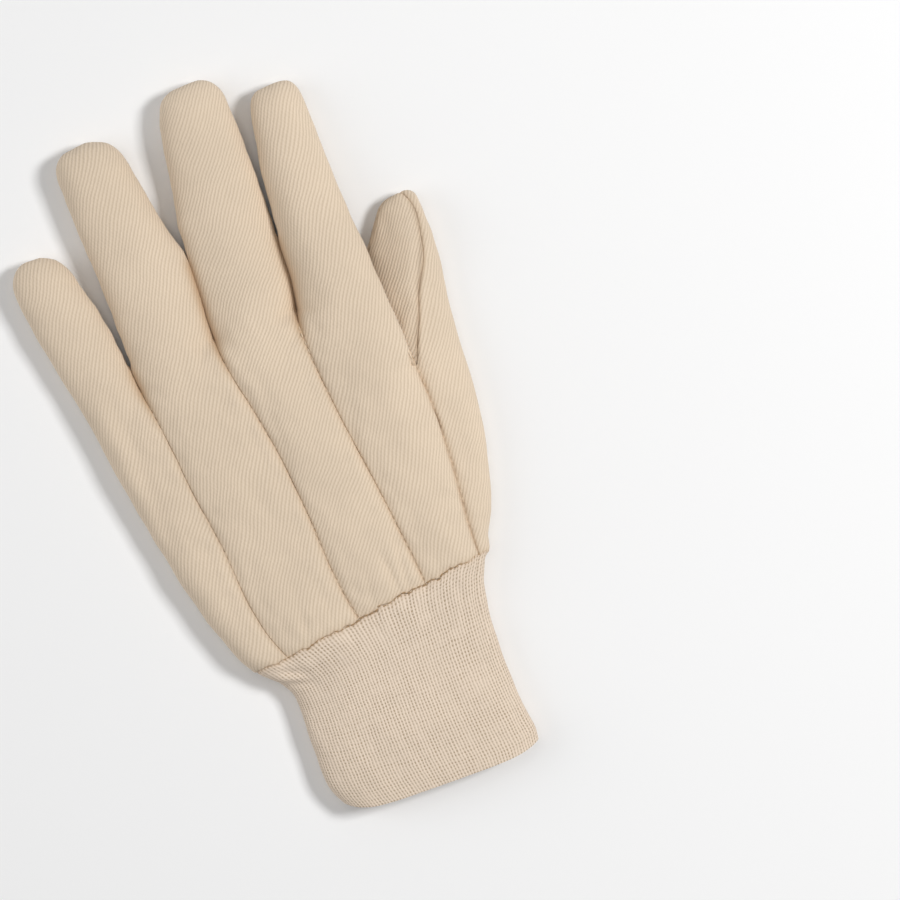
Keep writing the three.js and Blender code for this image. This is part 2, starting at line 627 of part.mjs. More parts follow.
// The inner panel: the thumb's upper side, from its hidden edge to the seam on its back.
function thumbInnerPatch() {
  return [THUMB_CROTCH, ...THUMB_ROWS].map((y) => {
    const form = thumbForm(y);
    const row = [];
    for (let column = 0; column <= WEB_COLUMNS; column += 1) {
      const share = column / WEB_COLUMNS;
      const x = mix(form.left, form.seam, share);
      const round = mix(form.leftHeight, form.seamHeight, Math.sin(share * QUARTER));
      const straight = mix(form.leftHeight, form.seamHeight, share);
      const clearance = PRESS_GAP + SEAM_GAP;
      const under = Math.max(coverHeight(x, y) - clearance, straight * THUMB_PRESSED);
      const middle = y > THUMB_CROTCH ? Math.min(round, under) : straight;
      const onSeam = column === 0 || column === WEB_COLUMNS;
      row.push(place(x, y - form.dip * (1 - share), onSeam ? straight : middle, false));
    }
    return row;
  });
}

// Knit cuff, whose first row follows the hand's edge round the wrist
function wristRing() {
  const upper = FINGERS.map((_, index) => upperPatch(index)[0]);
  const lower = [lowerPatch(0)[0], lowerPatch(1)[0], lowerPatch(2)[0], palmRootPatch()[0]];
  const thumb = thumbOuterPatch()[0];
  const ring = [...thumb.slice(0, -1)];
  for (const part of lower.reverse()) ring.push(...part.slice(1).reverse());
  for (const part of upper) ring.push(...part.slice(0, -1));
  return ring;
}

function cuffPatch() {
  const ring = wristRing();
  const xs = ring.map((point) => point.x);
  const ringLeft = Math.min(...xs);
  const ringRight = Math.max(...xs);
  const places = [0, ...CUFF_LINES.map((row) => row.at * CUFF_LENGTH)];
  const left = smoothLine(places, [ringLeft, ...CUFF_LINES.map((row) => row.left * CUFF_WIDTH)]);
  const right = smoothLine(places, [ringRight, ...CUFF_LINES.map((row) => row.right * CUFF_WIDTH)]);
  const height = tableLine(CUFF_LINES, "height", CUFF_LENGTH, CUFF_HEIGHT);
  const ringMiddle = (ringLeft + ringRight) / 2;
  const ringHalf = (ringRight - ringLeft) / 2;
  return CUFF_ROWS.map((share) => {
    const depth = share * CUFF_LENGTH;
    const middle = (left(depth) + right(depth)) / 2;
    const half = (right(depth) - left(depth)) / 2;
    const own = ramp(depth, 0, CUFF_LENGTH * CUFF_BLEND);
    const row = ring.map((point) => {
      const across = (point.x - ringMiddle) / ringHalf;
      const upper = point.z > SIDE_HEIGHT - 0.01;
      const bow = Math.max(1 - Math.abs(across) ** CUFF_BOW_POWER, 0) ** (1 / CUFF_BOW_POWER);
      const top = mix(SIDE_HEIGHT, height(depth), bow);
      const under = mix(SIDE_HEIGHT, 0, clamp((1 - Math.abs(across)) * CUFF_CORNER_SHARE, 0, 1));
      const z = mix(point.z, upper ? top : Math.min(point.z, under), own);
      const hemCurve = (across < 0 ? HEM_RISE : THUMB_HEM_RISE) * Math.abs(across) ** HEM_POWER * share;
      const slanted = point.y * (1 - ramp(depth, 0, CUFF_LENGTH * CUFF_LEVEL));
      return new THREE.Vector3(middle + across * half, slanted - depth + hemCurve, z);
    });
    row.push(row[0].clone());
    return row;
  });
}

// Sheets. A patch is a grid of points, a sheet joins patches where their points meet.
const keyOf = (point) => [point.x, point.y, point.z].map((value) => Math.round(value * 500)).join(",");

function makeSheet(patches) {
  const points = [];
  const faces = [];
  const known = new Map();
  const indexOf = (point) => {
    const key = keyOf(point);
    if (!known.has(key)) {
      known.set(key, points.length);
      points.push(point.clone());
    }
    return known.get(key);
  };
  const addFace = (a, b, c) => {
    if (a !== b && b !== c && c !== a) faces.push([a, b, c]);
  };
  for (const { grid, flip } of patches) {
    const numbers = grid.map((row) => row.map(indexOf));
    for (let row = 0; row + 1 < grid.length; row += 1) {
      for (let column = 0; column + 1 < grid[row].length; column += 1) {
        const a = numbers[row][column];
        const b = numbers[row][column + 1];
        const c = numbers[row + 1][column + 1];
        const d = numbers[row + 1][column];
        if (flip) {
          addFace(a, c, b);
          addFace(a, d, c);
        } else {
          addFace(a, b, c);
          addFace(a, c, d);
        }
      }
    }
  }
  const normals = points.map(() => new THREE.Vector3());
  const edges = new Set();
  for (const face of faces) {
    const [a, b, c] = face.map((index) => points[index]);
    const area = new THREE.Vector3().subVectors(b, a).cross(new THREE.Vector3().subVectors(c, a));
    for (const index of face) normals[index].add(area);
    for (let side = 0; side < 3; side += 1) edges.add(`${face[side]}>${face[(side + 1) % 3]}`);
  }
  normals.forEach((normal) => normal.normalize());
  const border = [];
  for (const edge of edges) {
    const [from, to] = edge.split(">").map(Number);
    if (!edges.has(`${to}>${from}`)) border.push([from, to]);
  }
  const inwards = new Map();
  for (const [from, to] of border) {
    const along = new THREE.Vector3().subVectors(points[to], points[from]).normalize();
    for (const index of [from, to]) {
      const aside = new THREE.Vector3().crossVectors(normals[index], along);
      if (!inwards.has(index)) inwards.set(index, new THREE.Vector3());
      inwards.get(index).add(aside);
    }
  }
  inwards.forEach((direction) => direction.normalize());
  return { points, faces, normals, border, inwards };
}

// Normals at a seam are shared, so that the two rims run side by side, but not in a deep fold.
function shareNormals(sheets) {
  const meeting = new Map();
  for (const sheet of sheets) {
    for (const index of sheet.inwards.keys()) {
      const key = keyOf(sheet.points[index]);
      if (!meeting.has(key)) meeting.set(key, []);
      const normal = sheet.normals[index].clone();
      meeting.get(key).push({ sheet, index, normal, inward: sheet.inwards.get(index).clone() });
    }
  }
  for (const group of meeting.values()) {
    for (const own of group) {
      const shared = own.normal.clone();
      let folds = 0;
      for (const other of group) {
        if (other === own) continue;
        const folded = own.inward.dot(other.normal) > 0.5 || other.inward.dot(own.normal) > 0.5;
        if (folded) folds += 1;
        else shared.add(other.normal);
      }
      shared.normalize();
      own.sheet.normals[own.index].copy(shared);
      own.sheet.folds.set(own.index, folds);
      own.sheet.meets.set(own.index, group.length);
    }
  }
}

// The solid of a sheet: its outer face, its inner face one wall further in, and the rim between them.
function thicken(sheet, wall, cutbackAt) {
  const outer = sheet.points.map((point, index) => {
    const moved = point.clone();
    if (sheet.inwards.has(index)) {
      const own = cutbackAt(point, sheet.meets.get(index));
      moved.addScaledVector(sheet.inwards.get(index), own);
      if (sheet.folds.get(index) > 0) moved.addScaledVector(sheet.normals[index], -SEAM_GAP);
    }
    moved.z = Math.max(moved.z, 0);
    return moved;
  });
  const inner = outer.map((point, index) => point.clone().addScaledVector(sheet.normals[index], -wall));
  const positions = [...outer, ...inner].flatMap((point) => [point.x, point.y, point.z]);
  const offset = outer.length;
  const triangles = [];
  for (const [a, b, c] of sheet.faces) {
    triangles.push(a, b, c);
    triangles.push(offset + a, offset + c, offset + b);
  }
  for (const [from, to] of sheet.border) {
    triangles.push(from, offset + from, offset + to);
    triangles.push(from, offset + to, to);
  }
  const geometry = new THREE.BufferGeometry();
  geometry.setAttribute("position", new THREE.Float32BufferAttribute(positions, 3));
  geometry.setIndex(triangles);
  geometry.computeVertexNormals();
  return geometry;
}

const PANELS = {
  body_panel: {
    patches: [
      { grid: upperPatch(0), flip: false },
      { grid: upperPatch(3), flip: false },
      { grid: lowerPatch(0), flip: true },
      { grid: lowerPatch(1), flip: true },
      { grid: lowerPatch(2), flip: true },
      { grid: palmRootPatch(), flip: true },
      { grid: webPatch(), flip: true },
    ],
    wall: CLOTH_WALL,
    colour: COTTON,
  },
  ring_back_strip: { patches: [{ grid: upperPatch(1), flip: false }], wall: CLOTH_WALL, colour: COTTON },
  middle_back_strip: { patches: [{ grid: upperPatch(2), flip: false }], wall: CLOTH_WALL, colour: COTTON },
  thumb_outer_panel: { patches: [{ grid: thumbOuterPatch(), flip: false }], wall: CLOTH_WALL, colour: COTTON },
  thumb_inner_panel: { patches: [{ grid: thumbInnerPatch(), flip: false }], wall: CLOTH_WALL, colour: COTTON },
  knit_cuff: { patches: [{ grid: cuffPatch(), flip: false }], wall: KNIT_WALL, colour: KNIT_COTTON },
};

// The palm stays back from the strips round each crotch, where they stand on it.
function palmCutback(point) {
  let extra = 0;
  for (const [index, side] of [[0, 1], [1, 1], [2, 1]]) {
    const crotch = side > 0 ? FINGERS[index].rightCrotch : FINGERS[index].leftCrotch;
    const x = FINGERS[index].rightSide(crotch);
    const distance = Math.hypot(point.x - x, point.y - crotch, point.z);
    extra = Math.max(extra, CROTCH_CUTBACK * (1 - ramp(distance, 0, 3 * SIDE_TUCK)));
  }
  return extra;
}

const sheets = Object.fromEntries(
  Object.entries(PANELS).map(([name, panel]) => {
    const sheet = makeSheet(panel.patches);
    return [name, { ...sheet, folds: new Map(), meets: new Map() }];
  }),
);
shareNormals(Object.values(sheets));

const glove = new THREE.Group();
for (const [name, panel] of Object.entries(PANELS)) {
  const cutback = (point, meets) => {
    const corner = meets > 2 ? SEAM_GAP : 0;
    const knit = name === "knit_cuff" ? SEAM_GAP / 2 : 0;
    return SEAM_GAP / 2 + knit + corner + (name === "body_panel" ? palmCutback(point) : 0);
  };
  const material = new THREE.MeshStandardMaterial({ color: panel.colour, roughness: 0.95, metalness: 0 });
  const mesh = new THREE.Mesh(thicken(sheets[name], panel.wall, cutback), material);
  mesh.name = name;
  glove.add(mesh);
}

// The origin lies on the surface, under the middle of the glove's outline.
const bounds = new THREE.Box3().setFromObject(glove);
glove.position.set(-(bounds.min.x + bounds.max.x) / 2, -(bounds.min.y + bounds.max.y) / 2, -bounds.min.z);

export default glove;
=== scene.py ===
"""Cotton work glove for the left hand, lying on its palm with the thumb folded in under the forefinger.

The glove is sewn from panels of cotton twill and a knit wrist. Each panel is laid out as patches, grids
of points with rows along the hand and columns round it, joined to one sheet and given its wall. Lengths
are in millimetres until a mesh is made; X runs across the hand towards the thumb, Y towards the
fingertips and Z up through the back of the hand.
"""

from __future__ import annotations

import logging
import math
from dataclasses import dataclass, field
from enum import Enum

import bpy
import numpy as np
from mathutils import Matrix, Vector
from mathutils.kdtree import KDTree
from mathutils.noise import noise


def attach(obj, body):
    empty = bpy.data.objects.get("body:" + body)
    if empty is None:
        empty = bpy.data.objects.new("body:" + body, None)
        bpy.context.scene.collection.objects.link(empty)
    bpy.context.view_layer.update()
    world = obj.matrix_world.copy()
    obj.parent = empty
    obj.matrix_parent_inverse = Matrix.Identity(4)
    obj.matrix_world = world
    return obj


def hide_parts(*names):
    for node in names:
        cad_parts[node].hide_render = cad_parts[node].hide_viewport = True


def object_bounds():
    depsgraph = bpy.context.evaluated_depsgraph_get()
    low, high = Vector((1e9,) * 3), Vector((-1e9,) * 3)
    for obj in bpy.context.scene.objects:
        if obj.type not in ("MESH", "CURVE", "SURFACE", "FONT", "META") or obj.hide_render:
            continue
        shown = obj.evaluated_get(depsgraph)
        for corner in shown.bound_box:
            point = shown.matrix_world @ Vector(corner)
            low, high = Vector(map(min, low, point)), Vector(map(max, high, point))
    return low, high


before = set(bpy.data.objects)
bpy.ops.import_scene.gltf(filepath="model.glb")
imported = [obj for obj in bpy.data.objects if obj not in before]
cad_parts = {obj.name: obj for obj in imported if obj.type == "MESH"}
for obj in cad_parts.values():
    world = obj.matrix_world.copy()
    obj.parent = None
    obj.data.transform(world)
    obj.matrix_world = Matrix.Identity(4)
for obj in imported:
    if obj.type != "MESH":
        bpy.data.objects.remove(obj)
CAD_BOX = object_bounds()

LOG = logging.getLogger("glove")
MM = 0.001
QUARTER = math.pi / 2


@dataclass(frozen=True)
class GloveSizes:
    """Driving sizes of the glove, in millimetres."""

    hand_length: float = 114.5
    little_crotch_drop: float = 7.5
    thumb_crotch: float = 76.0
    thumb_crotch_drop: float = 6.0
    cuff_length: float = 65.0
    little_reach: float = 48.5
    ring_reach: float = 73.3
    middle_reach: float = 81.5
    index_reach: float = 71.5
    thumb_reach: float = 58.8
    fingertip_length: float = 13.0
    hand_width: float = 114.0
    cuff_width: float = 73.0
    side_tuck: float = 5.0
    hand_height: float = 22.0
    side_height: float = 6.5
    cuff_height: float = 14.5
    thumb_height: float = 13.0
    thumb_lift: float = 10.5
    web_height: float = 3.6
    cloth_wall: float = 1.5
    knit_wall: float = 2.0
    seam_gap: float = 0.01
    thumb_clearance: float = 0.1
    wrist_slant: float = 0.155
    wrist_palm_rise: float = 4.0
    back_seam_turn: float = 0.32
    thumb_seam_turn: float = 0.6
    under_turn: float = 2.0
    crotch_run: float = 22.0
    thumb_side_run: float = 18.0
    wrist_fade: float = 26.0

    @property
    def little_crotch(self) -> float:
        """Where the little finger's crotch lies along the hand."""
        return self.hand_length - self.little_crotch_drop


SIZES = GloveSizes()


def mix(first: float, second: float, share: float) -> float:
    """Returns the value a share of the way from first to second."""
    return first + (second - first) * share


def clamp(value: float) -> float:
    """Returns value held between 0 and 1."""
    return min(max(value, 0.0), 1.0)


def ramp(value: float, start: float, end: float) -> float:
    """Returns 0 before start and 1 beyond end, with a smooth rise between them."""
    share = clamp((value - start) / (end - start))
    return share * share * (3 - 2 * share)


def spread(start: float, end: float, count: int) -> list[float]:
    """Returns count places in equal steps from start to end, without start itself."""
    return [mix(start, end, (number + 1) / count) for number in range(count)]


class SmoothLine:
    """A smooth line through the values of a table, read at any place along it."""

    def __init__(self, places: list[float], values: list[float]) -> None:
        """Keeps the knots of the line.

        Args:
            places: where each value stands, rising.
            values: the line's value at each place.
        """
        self.places = list(places)
        self.values = list(values)

    def _slope(self, number: int) -> float:
        """Returns the line's slope at one knot."""
        before = max(number - 1, 0)
        after = min(number + 1, len(self.places) - 1)
        return (self.values[after] - self.values[before]) / (self.places[after] - self.places[before])

    def __call__(self, place: float) -> float:
        """Returns the line's value at a place."""
        places = self.places
        inside = min(max(place, places[0]), places[-1])
        number = 0
        while number < len(places) - 2 and places[number + 1] < inside:
            number += 1
        span = places[number + 1] - places[number]
        t = (inside - places[number]) / span
        rise = 3 * t**2 - 2 * t**3
        start = self.values[number] * (1 - rise) + self._slope(number) * span * (t - 2 * t**2 + t**3)
        return start + self.values[number + 1] * rise + self._slope(number + 1) * span * (t**3 - t**2)


@dataclass(frozen=True)
class Table:
    """Rows of shares with named columns; the first column is where each row stands."""

    columns: tuple[str, ...]
    rows: tuple[tuple[float, ...], ...]

    def values(self, column: str) -> list[float]:
        """Returns one column from top to bottom."""
        number = self.columns.index(column)
        return [row[number] for row in self.rows]

    def line(self, column: str, place_size: float, value_size: float) -> SmoothLine:
        """Returns the smooth line of one column, with its shares taken of two sizes.

        Args:
            column: name of the column.
            place_size: size that the rows' places are shares of.
            value_size: size that the values are shares of.

        Returns:
            The line in millimetres.
        """
        places = [place * place_size for place in self.values("at")]
        return SmoothLine(places, [value * value_size for value in self.values(column)])


HAND_LINES = Table(
    ("at", "edge", "ring", "middle", "index", "thumb", "radial", "palm"),
    (
        (0.0, -0.404, -0.298, -0.053, 0.175, 0.36, 0.393, 0.079),
        (0.045, -0.437, -0.319, -0.063, 0.171, 0.36, 0.407, 0.08),
        (0.09, -0.461, -0.338, -0.072, 0.167, 0.361, 0.424, 0.081),
        (0.175, -0.504, -0.36, -0.083, 0.158, 0.364, 0.447, 0.082),
        (0.35, -0.548, -0.377, -0.094, 0.136, 0.377, 0.491, 0.082),
        (0.525, -0.586, -0.404, -0.112, 0.11, 0.38, 0.515, 0.085),
        (0.665, -0.612, -0.419, -0.137, 0.091, 0.374, 0.524, 0.105),
        (0.875, -0.645, -0.45, -0.18, 0.075, 0.36, 0.54, 0.16),
        (1.0, -0.669, -0.461, -0.184, 0.096, 0.351, 0.55, 0.2),
    ),
)
SIDE_COLUMNS = ("at", "left", "right")
LITTLE_SIDES = Table(
    SIDE_COLUMNS,
    ((0.1, -0.549, 0.469), (0.31, -0.637, 0.403), (0.5, -0.726, 0.336), (0.74, -0.8, 0.181),
     (1.0, -0.792, 0.049)),
)
RING_SIDES = Table(
    SIDE_COLUMNS,
    (
        (0.08, -0.49, 0.5), (0.34, -0.506, 0.506), (0.49, -0.523, 0.406),
        (0.63, -0.539, 0.338), (0.77, -0.558, 0.27), (1.0, -0.578, 0.167),
    ),
)
MIDDLE_SIDES = Table(
    SIDE_COLUMNS,
    (
        (0.07, -0.487, 0.519), (0.3, -0.478, 0.522), (0.44, -0.453, 0.531), (0.56, -0.406, 0.534),
        (0.68, -0.353, 0.538), (0.8, -0.303, 0.519), (1.0, -0.234, 0.487),
    ),
)
INDEX_SIDES = Table(
    SIDE_COLUMNS,
    (
        (0.08, -0.473, 0.483), (0.22, -0.466, 0.455), (0.39, -0.438, 0.428),
        (0.64, -0.393, 0.397), (0.78, -0.342, 0.39), (1.0, -0.256, 0.356),
    ),
)
CROWNS = Table(
    ("at", "little", "ring", "middle", "index"),
    (
        (0.0, 0.6, 0.7, 0.73, 0.71),
        (0.26, 0.64, 0.8, 0.87, 0.88),
        (0.53, 0.65, 0.84, 0.95, 1.0),
        (0.8, 0.64, 0.81, 0.94, 1.09),
        (1.0, 0.63, 0.73, 0.8, 1.04),
    ),
)
PLAIN_FALL = Table(("at", "crown"), ((0.15, 0.682), (1.0, 0.682)))
LITTLE_FALL = Table(("at", "crown"), ((0.2, 0.627), (1.0, 0.614)))
INDEX_FALL = Table(("at", "crown"), ((0.22, 0.94), (0.5, 0.77), (0.8, 0.66), (1.0, 0.64)))
INDEX_LIFT = Table(
    ("at", "lift"),
    ((0.0, 1.35), (0.1, 1.18), (0.25, 1.0), (0.36, 0.95), (0.5, 0.68), (0.66, 0.3), (0.85, 0.0), (1.0, 0.0)),
)
THUMB_LINES = Table(
    ("at", "left", "right", "seam", "height"),
    (
        (0.0, 0.105, 0.524, 0.374, 1.2),
        (0.1, 0.168, 0.526, 0.393, 1.14),
        (0.24, 0.211, 0.529, 0.425, 1.06),
        (0.41, 0.233, 0.539, 0.456, 1.0),
        (0.58, 0.282, 0.551, 0.503, 0.98),
        (0.75, 0.345, 0.5555, 0.522, 0.97),
        (0.87, 0.39, 0.555, 0.529, 0.95),
        (1.0, 0.43, 0.553, 0.52, 0.92),
    ),
)
CUFF_LINES = Table(
    ("at", "left", "right", "height"),
    (
        (0.06, -0.582, 0.572, 1.08),
        (0.13, -0.538, 0.54, 1.03),
        (0.22, -0.508, 0.52, 0.98),
        (0.4, -0.496, 0.505, 0.94),
        (0.65, -0.497, 0.513, 0.96),
        (0.85, -0.492, 0.532, 1.0),
        (0.93, -0.478, 0.54, 1.0),
        (1.0, -0.45, 0.534, 0.98),
    ),
)


@dataclass
class Patch:
    """One grid of points of a sheet.

    Attributes:
        points: rows by columns by three, in millimetres.
        cloth: rows by columns by two, the place on the flat cloth in millimetres.
        flip: True where columns run the other way round the hand.
    """

    points: np.ndarray
    cloth: np.ndarray
    flip: bool = False


@dataclass
class HalfForm:
    """Sizes of one half of a strip's section, from its crown out to one side."""

    middle: float
    half: float
    turn: float
    crown: float
    side: float
    seam: float
    floor: float
    tuck: float


@dataclass
class Finger:
    """One strip of the back with the finger that it runs into."""

    name: str
    root: float
    reach: float
    sides: Table
    fall: Table
    left_line: str
    right_line: str
    left_crotch: float
    right_crotch: float
    tip_power: float
    left_side: SmoothLine = field(init=False)
    right_side: SmoothLine = field(init=False)
    crown_line: SmoothLine = field(init=False)

    def __post_init__(self) -> None:
        """Works out the finger's lines from the hand's and its own tables."""
        left = self._hand_line(self.left_line)(self.root)
        right = self._hand_line(self.right_line)(self.root)
        middle = (left + right) / 2
        width = right - left
        self.left_side = self._side_line("left", self.left_line, self.left_crotch, middle, width)
        self.right_side = self._side_line("right", self.right_line, self.right_crotch, middle, width)
        places = [at * SIZES.hand_length for at in CROWNS.values("at") if at * SIZES.hand_length <= self.root]
        values = [share * SIZES.hand_height for share in CROWNS.values(self.name)[: len(places)]]
        for at, crown in self.fall.rows:
            places.append(self.root + at * self.reach)
            values.append(crown * SIZES.hand_height)
        self.crown_line = SmoothLine(places, values)

    @staticmethod
    def _hand_line(column: str) -> SmoothLine:
        """Returns one of the lines along the hand."""
        return HAND_LINES.line(column, SIZES.hand_length, SIZES.hand_width)

    def _side_line(self, column: str, hand: str, crotch: float, middle: float, width: float) -> SmoothLine:
        """Joins the hand's line below the crotch to the finger's own side above it.

        Args:
            column: left or right.
            hand: the hand's line that the side goes on from.
            crotch: where the finger's side leaves the hand.
            middle: middle of the finger's root.
            width: width of the finger's root.

        Returns:
            The side of the finger along its whole strip.
        """
        places, values = [], []
        for at, share in zip(HAND_LINES.values("at"), HAND_LINES.values(hand)):
            if at * SIZES.hand_length < crotch - SIZES.side_tuck:
                places.append(at * SIZES.hand_length)
                values.append(share * SIZES.hand_width)
        places.append(crotch)
        values.append(self._hand_line(hand)(crotch))
        for at, share in zip(self.sides.values("at"), self.sides.values(column)):
            places.append(self.root + at * self.reach)
            values.append(middle + share * width)
        return SmoothLine(places, values)

    @property
    def tip(self) -> float:
        """Where the finger ends."""
        return self.root + self.reach

    @property
    def cap_start(self) -> float:
        """Where the fingertip starts to round off."""
        return self.tip - SIZES.fingertip_length


def cap_share(start: float, end: float, y: float, power: float) -> float:
    """Returns how far a tip has closed: 1 where it starts to round off, 0 at its end."""
    share = clamp((y - start) / (end - start))
    return max(1 - share**power, 0.0) ** (1 / power)


def rows_with_cap(start: float, cap_start: float, tip: float, step: float) -> list[float]:
    """Returns rows from start to a rounded tip, closer together where it closes."""
    plain = spread(start, cap_start, max(round((cap_start - start) / step), 2))
    angles = spread(0.0, QUARTER, 14)
    return plain + [mix(cap_start, tip, math.sin(angle)) for angle in angles]


class GloveForm:
    """The outer surface of the glove, patch by patch."""

    ROW_STEP = 1.6
    EDGE_SHARES = (0.0, 0.008, 0.018, 0.032, 0.05, 0.075)
    STRIP_STEPS = 18
    LOWER_STEPS = 14
    WEB_STEPS = 14

    def __init__(self) -> None:
        """Works out the fingers, the thumb's lines and the rows that the strips share."""
        hand, little = SIZES.hand_length, SIZES.little_crotch
        self.fingers = [
            Finger("little", little, SIZES.little_reach, LITTLE_SIDES, LITTLE_FALL, "edge", "ring",
                   little, little, 3.0),
            Finger("ring", hand, SIZES.ring_reach, RING_SIDES, PLAIN_FALL, "ring", "middle",
                   little, hand, 3.0),
            Finger("middle", hand, SIZES.middle_reach, MIDDLE_SIDES, PLAIN_FALL, "middle", "index",
                   hand, hand, 3.0),
            Finger("index", hand, SIZES.index_reach, INDEX_SIDES, INDEX_FALL, "index", "thumb",
                   hand, SIZES.thumb_crotch, 4.2),
        ]
        index_tip = hand + SIZES.index_reach
        self.index_lift = INDEX_LIFT.line("lift", index_tip - SIZES.thumb_crotch, SIZES.thumb_lift)
        self.radial_line = HAND_LINES.line("radial", hand, SIZES.hand_width)
        self.palm_seam = HAND_LINES.line("palm", hand, SIZES.hand_width)
        self.thumb = {
            column: THUMB_LINES.line(column, SIZES.thumb_reach, size)
            for column, size in (
                ("left", SIZES.hand_width), ("right", SIZES.hand_width),
                ("seam", SIZES.hand_width), ("height", SIZES.thumb_height),
            )
        }
        self.hand_rows = self._hand_rows()
        self.thumb_tip = SIZES.thumb_crotch + SIZES.thumb_reach
        self.thumb_cap = self.thumb_tip - SIZES.fingertip_length

    def _hand_rows(self) -> list[float]:
        """Returns the rows that all strips share, up to just beyond the crotches."""
        places = [0.0, SIZES.thumb_crotch, SIZES.little_crotch, SIZES.hand_length,
                  SIZES.hand_length + SIZES.side_tuck + 1]
        steps = (self.ROW_STEP, self.ROW_STEP * 0.7, self.ROW_STEP * 0.5, self.ROW_STEP * 0.5)
        rows = [0.0, 0.25, 0.6, 1.1]
        rows += spread(rows[-1], places[1], round(places[1] / steps[0]))
        for start, end, step in zip(places[1:-1], places[2:], steps[1:]):
            rows += spread(start, end, round((end - start) / step))
        return rows

    def rows_of(self, finger: Finger) -> list[float]:
        """Returns the rows of one strip from the wrist seam to its fingertip."""
        return self.hand_rows + rows_with_cap(self.hand_rows[-1], finger.cap_start, finger.tip, self.ROW_STEP)

    def half_shares(self) -> np.ndarray:
        """Returns where the columns of half a strip stand, closer together beside its seam."""
        inner = np.linspace(0.0, 1 - self.EDGE_SHARES[-1], self.STRIP_STEPS, endpoint=False)
        return np.concatenate([inner, 1 - np.array(self.EDGE_SHARES[::-1])])

    def edge_turn(self, number: int, side: int, y: float) -> float:
        """Returns how far a strip's edge turns at a row: 0 crown, 1 side, 2 underside."""
        if number == 0 and side < 0:
            return SIZES.under_turn
        if number == 3 and side > 0:
            share = clamp((y - SIZES.thumb_crotch) / SIZES.thumb_side_run)
            return mix(SIZES.thumb_seam_turn, SIZES.under_turn, share)
        finger = self.fingers[number]
        crotch = finger.left_crotch if side < 0 else finger.right_crotch
        share = clamp((y - crotch + SIZES.crotch_run) / SIZES.crotch_run)
        return mix(SIZES.back_seam_turn, SIZES.under_turn, share**3)

    def half_form(self, number: int, side: int, y: float) -> HalfForm:
        """Works out one half of a strip's section at a row.

        Args:
            number: the strip, from the little finger's.
            side: -1 for the half towards the little finger, 1 towards the thumb.
            y: the row.

        Returns:
            The sizes of that half.
        """
        finger = self.fingers[number]
        by_thumb = number == 3 and side > 0
        left, right = finger.left_side(y), finger.right_side(y)
        powers = (finger.tip_power, 2.2, 4)
        width, top, floor_cap = (cap_share(finger.cap_start, finger.tip, y, power) for power in powers)
        turn = self.edge_turn(number, side, y)
        crotch = finger.left_crotch if side < 0 else finger.right_crotch
        tuck = SIZES.side_tuck * ramp(y, crotch, crotch + 2 * SIZES.side_tuck)
        if number == 0 and side < 0:
            tuck = SIZES.side_tuck
        lifted = number == 3 and y > SIZES.thumb_crotch
        lift = max(self.index_lift(y - SIZES.thumb_crotch), 0.0) if lifted else 0.0
        floor = lift if side > 0 else 0.0
        crown = finger.crown_line(y)
        neighbour = number + side
        seam_crown = crown
        if 0 <= neighbour < len(self.fingers):
            seam_crown = (crown + self.fingers[neighbour].crown_line(y)) / 2
        side_height = mix(floor, crown, 0.45) if by_thumb and lift > 0 else SIZES.side_height
        shown = SIZES.thumb_seam_turn if by_thumb else min(turn, 1.0)
        seam = mix(SIZES.side_height, seam_crown, math.cos(shown * QUARTER))
        if by_thumb:
            seam = mix(seam, side_height, ramp(turn, SIZES.thumb_seam_turn, 1.0))
        return HalfForm(
            middle=(left + right) / 2,
            half=(right - left) / 2 * width,
            turn=turn,
            crown=mix(SIZES.side_height, crown, top),
            side=mix(SIZES.side_height, side_height, top),
            seam=seam,
            floor=mix(SIZES.side_height, floor, floor_cap),
            tuck=tuck * width,
        )

    @staticmethod
    def half_points(form: HalfForm, side: int, shares: np.ndarray) -> np.ndarray:
        """Returns points (x, z) of a half section, from its crown at share 0 to its edge at 1."""
        turns = shares * form.turn
        angles = np.minimum(turns, 1.0) * QUARTER
        if form.turn <= 1:
            reach = form.half * np.sin(angles) / math.sin(form.turn * QUARTER)
            fall = (1 - np.cos(angles)) / (1 - math.cos(form.turn * QUARTER))
            heights = form.crown + (form.seam - form.crown) * fall
            return np.stack([form.middle + side * reach, heights], axis=1)
        under = np.clip(turns - 1, 0.0, 1.0) * QUARTER
        reach = form.half * np.sin(angles) - form.tuck * (1 - np.cos(under))
        above = form.side + (form.crown - form.side) * np.cos(angles)
        below = form.side + (form.floor - form.side) * np.sin(under)
        return np.stack([form.middle + side * reach, np.where(turns <= 1, above, below)], axis=1)

    def edge_point(self, number: int, side: int, y: float) -> tuple[float, float]:
        """Returns (x, z) of a strip's edge as the palm meets it."""
        x, z = self.half_points(self.half_form(number, side, y), side, np.array([1.0]))[0]
        return float(x), float(z)

    def wrist_shift(self, x: np.ndarray, y: np.ndarray, on_palm: bool) -> np.ndarray:
        """Returns how far rows are shifted along the hand to follow the slanted wrist seam."""
        left, right = self.fingers[0].left_side(0.0), self.radial_line(0.0)
        middle, half = (left + right) / 2, (right - left) / 2 - SIZES.side_tuck
        arch = np.maximum(1 - ((x - middle) / half) ** 2, 0.0)
        share = np.clip(y / SIZES.wrist_fade, 0.0, 1.0)
        fade = 1 - share * share * (3 - 2 * share)
        return (SIZES.wrist_slant * x + (SIZES.wrist_palm_rise * arch if on_palm else 0.0)) * fade

    def row(self, x: np.ndarray, y: np.ndarray | float, z: np.ndarray, on_palm: bool) -> np.ndarray:
        """Returns one row of points, shifted along the hand near the wrist seam."""
        ys = np.broadcast_to(np.asarray(y, float), x.shape)
        return np.stack([x, ys + self.wrist_shift(x, ys, on_palm), z], axis=1)

